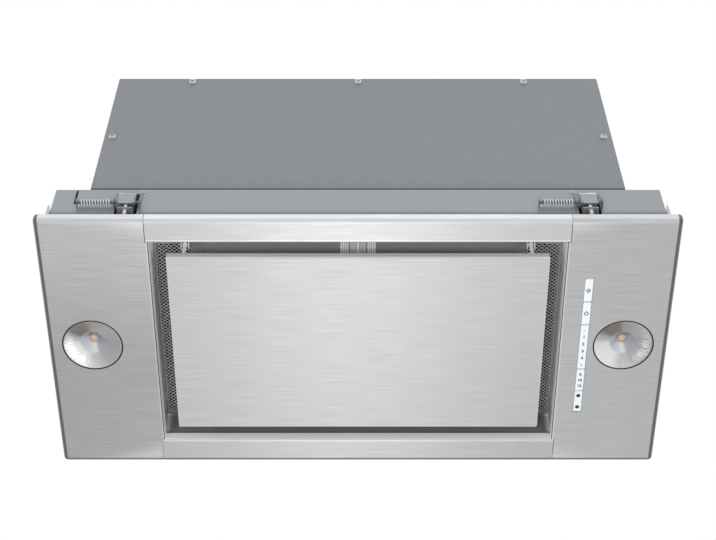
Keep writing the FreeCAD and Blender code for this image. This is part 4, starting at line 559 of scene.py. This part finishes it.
for row in rows:
    mesh_tree.links.new(row.outputs[0], pair.inputs[0])
row_step = number(mesh_tree, "MULTIPLY", given.outputs["Half Diamond Depth"], 2.0)
places = put(mesh_tree, "GeometryNodeMeshLine", {
    "Count": given.outputs["Row Pairs"],
    "Start Location": vector(mesh_tree, 0.0, given.outputs["Front"], given.outputs["Height"]),
    "Offset": vector(mesh_tree, 0.0, row_step)})
net = put(mesh_tree, "GeometryNodeInstanceOnPoints", {
    "Points": places.outputs[0], "Instance": pair.outputs[0]})
close(net.outputs[0])


def plate(name, corners, material, body, edge=0.0):
    """A flat rectangular piece between two corners in metres, with narrow rounded edges."""
    low, high = corners
    work = bmesh.new()
    bmesh.ops.create_cube(work, size=1.0)
    for vertex in work.verts:
        vertex.co = Vector([(low[i] + high[i]) / 2 + vertex.co[i] * (high[i] - low[i]) for i in range(3)])
    if edge:
        bmesh.ops.bevel(work, geom=work.edges[:], offset=edge, segments=2, affect="EDGES")
    mesh = bpy.data.meshes.new(name)
    work.to_mesh(mesh)
    work.free()
    mesh.materials.append(material)
    piece = bpy.data.objects.new(name, mesh)
    scene.collection.objects.link(piece)
    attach(piece, body)


diamond_width = 4.75 * MM
diamond_depth = 3.8 * MM
strand_width = 0.95 * MM
strand_thick = 0.55 * MM
strand_tilt = math.radians(32)
margin_depth = 16 * MM
margin_end = 155 * MM
margin_proud = (0.4 * MM, 0.1 * MM)
inner_bar_width = 8 * MM
rib_count = 4
rib_half = 0.75 * MM
rib_proud = 0.5 * MM
for side in ("left", "right"):
    is_left = side == "left"
    frame_name, mesh_name = f"filter_{side}_frame", f"filter_{side}_mesh"
    dressed(frame_name, plain["rolled_aluminium_frame"], folded_edge)
    # The pad's dark colour is painted shade.
    dressed(f"filter_{side}_pad", plain["knitted_aluminium_pad_painted_shade"], 0)
    dressed(f"filter_{side}_latch", plain["moulded_black_abs"], folded_edge)
    low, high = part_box(mesh_name)
    across = 2 * round((high[0] - low[0]) / diamond_width)
    pairs = round((high[1] - low[1]) / diamond_depth)
    net = grown(f"filter_{side}_expanded_mesh", mesh_tree, plain["expanded_aluminium_mesh"], {
        "Left": low[0], "Front": low[1], "Height": (low[2] + high[2]) / 2,
        "Half Diamond Width": (high[0] - low[0]) / across,
        "Half Diamond Depth": (high[1] - low[1]) / (2 * pairs),
        "Strand Width": strand_width, "Strand Thickness": strand_thick, "Strand Tilt": strand_tilt,
        "Points Across": across + 1, "Row Pairs": pairs})
    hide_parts(mesh_name)
    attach(net, body_of[mesh_name])
    # The margin plate is coloured dark as painted shade.
    margin = sorted((high[0], -margin_end) if is_left else (low[0], margin_end))
    plate(f"filter_{side}_mesh_margin",
          ((margin[0], low[1], low[2] - margin_proud[0]),
           (margin[1], low[1] + margin_depth, low[2] - margin_proud[1])),
          plain["mesh_margin_painted_shade"], body_of[mesh_name])
    frame_low, frame_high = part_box(frame_name)
    bar_left = frame_high[0] - inner_bar_width if is_left else frame_low[0]
    # The ribs are coloured lighter than the frame: painted highlight.
    for count in range(rib_count):
        middle = bar_left + (count + 0.5) * inner_bar_width / rib_count
        plate(f"filter_{side}_bar_rib_{count + 1}",
              ((middle - rib_half, frame_low[1], frame_low[2] - rib_proud),
               (middle + rib_half, frame_high[1], frame_low[2])),
              plain["aluminium_ribs_painted_highlight"], body_of[frame_name], rib_edge)
dressed("center_bar", plain["zinc_plated_centre_bar"], sheet_edge)
bar_low, bar_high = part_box("center_bar")
bead_half = 0.9 * MM
bead_proud = 0.4 * MM
# The bead is coloured light like the ribs: painted highlight.
plate("center_bar_bead",
      ((-bead_half, bar_low[1], bar_low[2] - bead_proud), (bead_half, bar_high[1], bar_low[2])),
      plain["aluminium_ribs_painted_highlight"], body_of["center_bar"], folded_edge)
# The intake frame carries painted shade towards the rear.
dressed("intake_frame", plain["satin_zinc_intake_frame_painted_rear_shade"], thin_edge)


# Lamps: a dish spun from aluminium, with a warm light-emitting chip on its board at the throat.
# Spinning leaves fine rings, and the dish carries light and dark sectors of painted reflection, with
# painted shade on the rim where it meets the steel.
RIM_PAINTED_SHADE = "#3A3E3F"
# The sectors are painted reflection, fixed on the dish.
OUTER_PAINTED_REFLECTION_SECTORS = (
    (0.0, "#F4F5F7"), (0.06, "#FFFFFF"), (0.16, "#FFFFFF"), (0.26, "#D6D6D9"), (0.36, "#BEBDBD"),
    (0.5, "#B6B7B8"), (0.62, "#BCBDBE"), (0.74, "#B3B0AE"), (0.8, "#8F8984"), (0.88, "#8B8580"),
    (0.95, "#C9C9CB"), (1.0, "#F4F5F7"))
INNER_PAINTED_REFLECTION_SECTORS = (
    (0.0, "#DCDFE4"), (0.15, "#E4E5E9"), (0.27, "#F8F8F8"), (0.34, "#C2C2CB"), (0.5, "#B9B9C4"),
    (0.62, "#BDBDC0"), (0.75, "#A9A3A0"), (0.85, "#B5B1AF"), (0.95, "#D5D8DD"), (1.0, "#DCDFE4"))
rim_mm = 27.2
rim_blur_mm = 0.1
knee_mm = 12.4
knee_blur_mm = 1.0
ring_mm = 1.2
waves_per_unit = 20
ring_depth = 0.1 * MM
ring_bump = 0.05


def length_of(tree, x, y):
    """The length of a flat vector."""
    return number(tree, "SQRT", number(tree, "ADD", number(tree, "MULTIPLY", x, x),
                                       number(tree, "MULTIPLY", y, y)))


def spun(name, middle):
    """Spun aluminium around an upright axis at middle, with light and dark sectors of painted reflection
    and painted shade on the rim.
    A sector is its share of a turn, from the left and anticlockwise as seen from below, and its colour."""
    material, shader, tree = principled(name, Metallic=1.0, Roughness=0.3, Anisotropic=0.5)
    place = put(tree, "ShaderNodeTexCoord")
    centred = put(tree, "ShaderNodeMapping", {"Vector": place.outputs["Object"],
                                              "Location": (-middle[0], -middle[1], 0)})
    axes = put(tree, "ShaderNodeSeparateXYZ", {0: centred.outputs[0]})
    ahead = number(tree, "MULTIPLY", axes.outputs[1], -1.0)
    turn = number(tree, "ARCTAN2", ahead, axes.outputs[0])
    turn_share = even(tree, turn, -math.pi, math.pi)
    tones = []
    for sectors in (OUTER_PAINTED_REFLECTION_SECTORS, INNER_PAINTED_REFLECTION_SECTORS):
        tone = put(tree, "ShaderNodeValToRGB", {"Fac": turn_share})
        tone.color_ramp.interpolation = "EASE"
        while len(tone.color_ramp.elements) < len(sectors):
            tone.color_ramp.elements.new(0.5)
        for element, (share, code) in zip(tone.color_ramp.elements, sectors):
            element.position = share
            element.color = linear(code)
        tones.append(tone.outputs[0])
    radius = length_of(tree, axes.outputs[0], axes.outputs[1])
    inner = around(tree, radius, knee_mm, knee_blur_mm, 1.0, 0.0)
    rings = put(tree, "ShaderNodeTexWave", {"Vector": centred.outputs[0], "Distortion": 0.0,
                                            "Scale": 1 / (ring_mm * MM) / waves_per_unit},
                wave_type="RINGS", rings_direction="Z")
    rim = around(tree, radius, rim_mm, rim_blur_mm)
    relief = put(tree, "ShaderNodeBump", {"Height": rings.outputs["Fac"], "Strength": ring_bump,
                                          "Distance": ring_depth})
    # The rim is darkened where it meets the steel: painted shade.
    tree.links.new(blend(tree, rim, blend(tree, inner, *tones), RIM_PAINTED_SHADE), shader.inputs["Base Color"])
    tree.links.new(relief.outputs[0], shader.inputs["Normal"])
    return material


for side in ("left", "right"):
    low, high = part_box(f"lamp_{side}_reflector")
    middle = [(low[i] + high[i]) / 2 for i in (0, 1)]
    dressed(f"lamp_{side}_reflector", spun(f"spun_aluminium_painted_reflection_{side}", middle), sheet_edge, turned_angle)
lamp_off, lamp_ahead = abs(middle[0]), middle[1]
chip_edge = (1.7 * MM, 2.4 * MM)
speckle_mm = 0.3
chip, shader, tree = principled("led_phosphor_on_its_board", Roughness=0.5)
place = put(tree, "ShaderNodeTexCoord").outputs["Object"]
axes = put(tree, "ShaderNodeSeparateXYZ", {0: place})
off = number(tree, "SUBTRACT", number(tree, "ABSOLUTE", axes.outputs[0]), lamp_off)
ahead = number(tree, "SUBTRACT", axes.outputs[1], lamp_ahead)
board = ramp(tree, length_of(tree, off, ahead), *chip_edge)
speckle = put(tree, "ShaderNodeTexNoise", {"Vector": place, "Scale": 1 / (speckle_mm * MM)})
phosphor = blend(tree, speckle.outputs["Fac"], "#C9A680", "#AE8A63")
tree.links.new(blend(tree, board, phosphor, "#9C9693"), shader.inputs["Base Color"])
dressed("lamp_leds", chip, board_edge)
dressed("lamp_heat_sinks", plain["anodised_heat_sink"], sheet_edge)


# Key strip: white moulded keys in a slot of the right end panel, with their carrier and circuit board.
for name in ("key_light", "key_power", "key_level", "key_timer", "key_filter"):
    dressed(name, plain["moulded_white_keys"], soft_edge)


def disc(y, radius, hole=0.0, opening=0.0, steps=28):
    """The corners of a disc, of a ring, or of a ring that is open at its top, at a place in mm."""
    first = math.pi / 2 + opening / 2
    turn = 2 * math.pi - opening
    angles = [first + turn * i / steps for i in range(steps + 1)]
    outer = [(radius * math.cos(angle), y + radius * math.sin(angle)) for angle in angles]
    if not hole:
        return outer[:-1]
    inner = [(hole * math.cos(angle), y + hole * math.sin(angle)) for angle in angles]
    return outer + inner[::-1]


def bar(y, wide, high):
    """The corners of a rectangle around a place in mm."""
    return [(-wide / 2, y - high / 2), (wide / 2, y - high / 2), (wide / 2, y + high / 2),
            (-wide / 2, y + high / 2)]


digit_mm = 4.2
digit_bold_mm = 0.2


def figure(digits, y):
    """The polygons of a number in the plain built-in letters, at a place in mm."""
    curve = bpy.data.curves.new("figure", "FONT")
    curve.body = digits
    curve.align_x = "CENTER"
    curve.align_y = "CENTER"
    curve.size = digit_mm
    curve.offset = digit_bold_mm
    curve.resolution_u = 3
    holder = bpy.data.objects.new("figure", curve)
    scene.collection.objects.link(holder)
    bpy.context.view_layer.update()
    mesh = bpy.data.meshes.new_from_object(holder.evaluated_get(bpy.context.evaluated_depsgraph_get()))
    bpy.data.objects.remove(holder)
    shapes = [[(mesh.vertices[i].co.x, mesh.vertices[i].co.y + y) for i in face.vertices]
              for face in mesh.polygons]
    bpy.data.meshes.remove(mesh)
    return shapes


# The marks are printed on the keys: flat, 0.02 mm proud, and upright for someone in front of the hood.
# The light key has a bulb, the power key its usual sign, and the others have plain numbers and bars.
# Each row has an ink, a mark, its place in mm from the strip's middle towards the front, and its sizes:
# a bar's width and height in mm, or a disc's radius, its hole's in mm and its opening in radians.
MARKS = {
    "key_light": [("grey", "disc", 62.6, 2.0, 1.2), ("grey", "bar", 62.6, 1.5, 0.5),
                  ("grey", "bar", 60.0, 1.4, 0.7)],
    "key_power": [("grey", "disc", 36.6, 2.2, 1.4, 1.2), ("grey", "bar", 38.3, 0.8, 2.4)],
    "key_level": [("pale", "bar", 17.1, 2.2, 0.6), ("pale", "bar", -23.2, 2.2, 0.6),
                  ("pale", "bar", -23.2, 0.6, 2.2), ("grey", "1", 9.5), ("grey", "2", 1.3),
                  ("grey", "3", -7.1), ("grey", "4", -15.2)],
    "key_timer": [("grey", "5", -34.8), ("grey", "10", -41.6), ("grey", "15", -48.5)],
    "key_filter": [("black", "disc", -60.3, 2.0), ("black", "disc", -74.1, 2.0)],
}
print_proud = 0.02 * MM
# Grey lines along each key's front and rear edge are painted shade of the gaps between the keys, in the
# pale ink.
gap_shade_line_mm = 0.35
gap_shade_line_share = 0.84
for name, rows in MARKS.items():
    low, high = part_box(name)
    middle = (low[0] + high[0]) / 2
    line = gap_shade_line_share * (high[0] - low[0]) / MM
    gap_shade_lines = [("pale", "bar", -low[1] / MM - gap_shade_line_mm, line, gap_shade_line_mm),
            ("pale", "bar", -high[1] / MM + gap_shade_line_mm, line, gap_shade_line_mm)]
    inks = sorted({row[0] for row in rows + gap_shade_lines})
    work = bmesh.new()
    mesh = bpy.data.meshes.new(name + "_marks")
    for ink in inks:
        mesh.materials.append(plain[f"printed_ink_{ink}"])
    for ink, mark, place, *sizes in rows + gap_shade_lines:
        if mark == "disc":
            shapes = [disc(place, *sizes)]
        elif mark == "bar":
            shapes = [bar(place, *sizes)]
        else:
            shapes = figure(mark, place)
        for shape in shapes:
            corners = [work.verts.new((middle + x * MM, -y * MM, low[2])) for x, y in shape]
            face = work.faces.new(corners)
            face.normal_update()
            if face.normal.z > 0:
                face.normal_flip()
            raised = bmesh.ops.extrude_face_region(work, geom=[face])
            for part in raised["geom"]:
                if isinstance(part, bmesh.types.BMVert):
                    part.co.z -= print_proud
                elif isinstance(part, bmesh.types.BMFace):
                    part.material_index = inks.index(ink)
    bmesh.ops.triangulate(work, faces=work.faces[:])
    work.to_mesh(mesh)
    work.free()
    marks = bpy.data.objects.new(name + "_marks", mesh)
    scene.collection.objects.link(marks)
    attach(marks, body_of[name])
dressed("key_carrier", plain["moulded_black_abs"], sheet_edge)
dressed("key_board", plain["circuit_board"], board_edge)


# Lower casing and housing: folded zinc-coated sheet with a satin finish.
# The casing's finish carries painted shade at its foot.
dressed("lower_casing", plain["satin_zinc_casing_painted_foot_shade"], casing_edge)
dressed("housing_shell", plain["satin_zinc_casing_painted_foot_shade"], sheet_edge)
dressed("housing_front_cover", plain["satin_zinc_cover"], soft_edge)
cover_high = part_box("housing_front_cover")[1]
case_low, case_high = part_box("lower_casing")
# A dark strip on the casing's shoulder under the cover is painted shadow of the seam between cover and
# casing.
seam_shadow_high = 3.4 * MM
seam_shadow_deep = 3 * MM
seam_shadow_front = case_low[1] + 0.3 * MM
seam_shadow_half = cover_high[0] - 7.2 * MM
plate("painted_shoulder_seam_shadow",
      ((-seam_shadow_half, seam_shadow_front, case_high[2]),
       (seam_shadow_half, seam_shadow_front + seam_shadow_deep, case_high[2] + seam_shadow_high)),
      plain["painted_seam_shadow"], body_of["lower_casing"], rib_edge)


# Screws: plated pan heads with a cross recess, driven through the sheets at each seam.
# Their places and sizes are read from the separate solids of the CAD nodes.
def solids(name):
    """The lowest and highest corner of each separate solid in a CAD node, from left to right."""
    work = bmesh.new()
    work.from_mesh(nodes[name].data)
    bmesh.ops.remove_doubles(work, verts=work.verts, dist=join_distance)
    boxes = []
    seen = set()
    for start in work.verts:
        if start.index in seen:
            continue
        seen.add(start.index)
        reached = [start]
        for vertex in reached:
            for edge in vertex.link_edges:
                other = edge.other_vert(vertex)
                if other.index not in seen:
                    seen.add(other.index)
                    reached.append(other)
        boxes.append([[pick(vertex.co[axis] for vertex in reached) for axis in range(3)]
                      for pick in (min, max)])
    work.free()
    return sorted(boxes)


# A pan head is a flattened ball cut off by a block, with a cross recess in its top and a shank below it.
screw_tree, given, close = new_tree("pan_head_screws", (
    "Head Radius", "Head Height", "Shank Radius", "Shank Length", "Recess Width", "Recess Depth", "Tilt"))
radius, height = given.outputs["Head Radius"], given.outputs["Head Height"]
ball = put(screw_tree, "GeometryNodeMeshUVSphere", {"Segments": 24, "Rings": 14, "Radius": 1.0})
dome_share = 1.35
dome_height = number(screw_tree, "MULTIPLY", height, dome_share)
dome = put(screw_tree, "GeometryNodeTransform", {
    "Geometry": ball.outputs[0], "Scale": vector(screw_tree, radius, radius, dome_height)})
wide = number(screw_tree, "MULTIPLY", radius, 3.0)
half_height = number(screw_tree, "DIVIDE", height, 2.0)
block = put(screw_tree, "GeometryNodeMeshCube", {"Size": vector(screw_tree, wide, wide, height)})
block_up = put(screw_tree, "GeometryNodeTransform", {
    "Geometry": block.outputs[0], "Translation": vector(screw_tree, 0.0, 0.0, half_height)})
head = put(screw_tree, "GeometryNodeMeshBoolean", operation="INTERSECT", solver="EXACT")
for solid in (dome, block_up):
    screw_tree.links.new(solid.outputs[0], head.inputs["Mesh 2"])
cross = put(screw_tree, "GeometryNodeMeshBoolean", {"Mesh 1": head.outputs[0]}, operation="DIFFERENCE",
            solver="EXACT")
depth = given.outputs["Recess Depth"]
width = given.outputs["Recess Width"]
deep = number(screw_tree, "MULTIPLY", depth, 2.0)
for size in (vector(screw_tree, radius, width, deep), vector(screw_tree, width, radius, deep)):
    slot = put(screw_tree, "GeometryNodeMeshCube", {"Size": size})
    lifted = put(screw_tree, "GeometryNodeTransform", {
        "Geometry": slot.outputs[0], "Translation": vector(screw_tree, 0.0, 0.0, height)})
    screw_tree.links.new(lifted.outputs[0], cross.inputs["Mesh 2"])
length = given.outputs["Shank Length"]
rod = put(screw_tree, "GeometryNodeMeshCylinder", {
    "Vertices": 16, "Radius": given.outputs["Shank Radius"], "Depth": length})
half_down = number(screw_tree, "DIVIDE", length, -2.0)
rod_down = put(screw_tree, "GeometryNodeTransform", {
    "Geometry": rod.outputs[0], "Translation": vector(screw_tree, 0.0, 0.0, half_down)})
screw = put(screw_tree, "GeometryNodeJoinGeometry")
for solid in (cross, rod_down):
    screw_tree.links.new(solid.outputs[0], screw.inputs[0])
set_in = put(screw_tree, "GeometryNodeInstanceOnPoints", {
    "Points": given.outputs["Places"], "Instance": screw.outputs[0],
    "Rotation": vector(screw_tree, given.outputs["Tilt"])})
chance = put(screw_tree, "FunctionNodeRandomValue", {"Seed": 7}, data_type="FLOAT")
chance.inputs[2].default_value = 0.0
chance.inputs[3].default_value = math.pi / 2
driven = put(screw_tree, "GeometryNodeRotateInstances", {
    "Instances": set_in.outputs[0], "Rotation": vector(screw_tree, 0.0, 0.0, chance.outputs[1]),
    "Local Space": True})
close(driven.outputs[0])

# Each row has a node, where its heads point, and in mm a head's height, the shank's radius, and the
# recess's width and depth.
SCREWS = (
    ("cover_screws", "front", 2.4, 2.0, 1.1, 0.9),
    ("seam_screws", "front", 1.2, 1.2, 0.7, 0.5),
    ("trim_screws", "up", 2.4, 2.0, 1.1, 0.9),
)
for name, pointing, head_height_mm, shank_mm, recess_mm, recess_deep_mm in SCREWS:
    boxes = solids(name)
    places = []
    head_height = head_height_mm * MM
    for low, high in boxes:
        middle = [(low[i] + high[i]) / 2 for i in range(3)]
        if pointing == "front":
            places.append((middle[0], low[1] + head_height, middle[2]))
        else:
            places.append((middle[0], middle[1], high[2] - head_height))
    along, tilt = (1, math.pi / 2) if pointing == "front" else (2, 0.0)
    low, high = boxes[0]
    screws = grown(name + "_pan_heads", screw_tree, plain["bright_zinc_plated_steel"], {
        "Head Radius": (high[0] - low[0]) / 2, "Head Height": head_height, "Shank Radius": shank_mm * MM,
        "Shank Length": high[along] - low[along] - head_height, "Recess Width": recess_mm * MM,
        "Recess Depth": recess_deep_mm * MM, "Tilt": tilt}, places)
    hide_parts(name)
    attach(screws, body_of[name])


# Clamps and side leaves: bent spring steel, coil springs on a pin, and a clamping screw.
# The clamp pins are dark as painted shade inside the springs.
CLAMP_FINISHES = (
    ("clamp_brackets", "satin_zinc_brackets"), ("clamp_pins", "steel_pins_painted_shade"),
    ("clamp_screws", "bright_spring_wire"), ("clamp_springs", "bright_spring_wire"),
    ("clamp_arm_front_left", "dull_spring_steel_arms"),
    ("clamp_arm_front_right", "dull_spring_steel_arms"),
    ("clamp_arm_rear_left", "dull_spring_steel_arms"),
    ("clamp_arm_rear_right", "dull_spring_steel_arms"), ("side_clips", "spring_steel"),
)
for name, finish in CLAMP_FINISHES:
    dressed(name, plain[finish], thin_edge, turned_angle)


# Fan, exhaust collar, controls: black and grey mouldings, a sheet scroll and a painted motor can.
FAN_FINISHES = (
    ("fan_scroll", "zinc_coated_sheet"), ("impeller_wheel", "moulded_black_abs"),
    ("impeller_blades", "moulded_black_abs"), ("impeller_shaft", "spring_steel"),
    ("fan_motor", "baked_motor_paint"), ("motor_bracket", "zinc_coated_sheet"),
    ("exhaust_collar", "moulded_black_abs"), ("flap_rod", "spring_steel"),
    ("flap_front", "moulded_grey_abs"), ("flap_rear", "moulded_grey_abs"),
    ("control_box", "moulded_black_abs"), ("led_driver", "moulded_white_abs"),
    ("cable_gland", "moulded_black_abs"),
)
for name, finish in FAN_FINISHES:
    dressed(name, plain[finish], folded_edge)
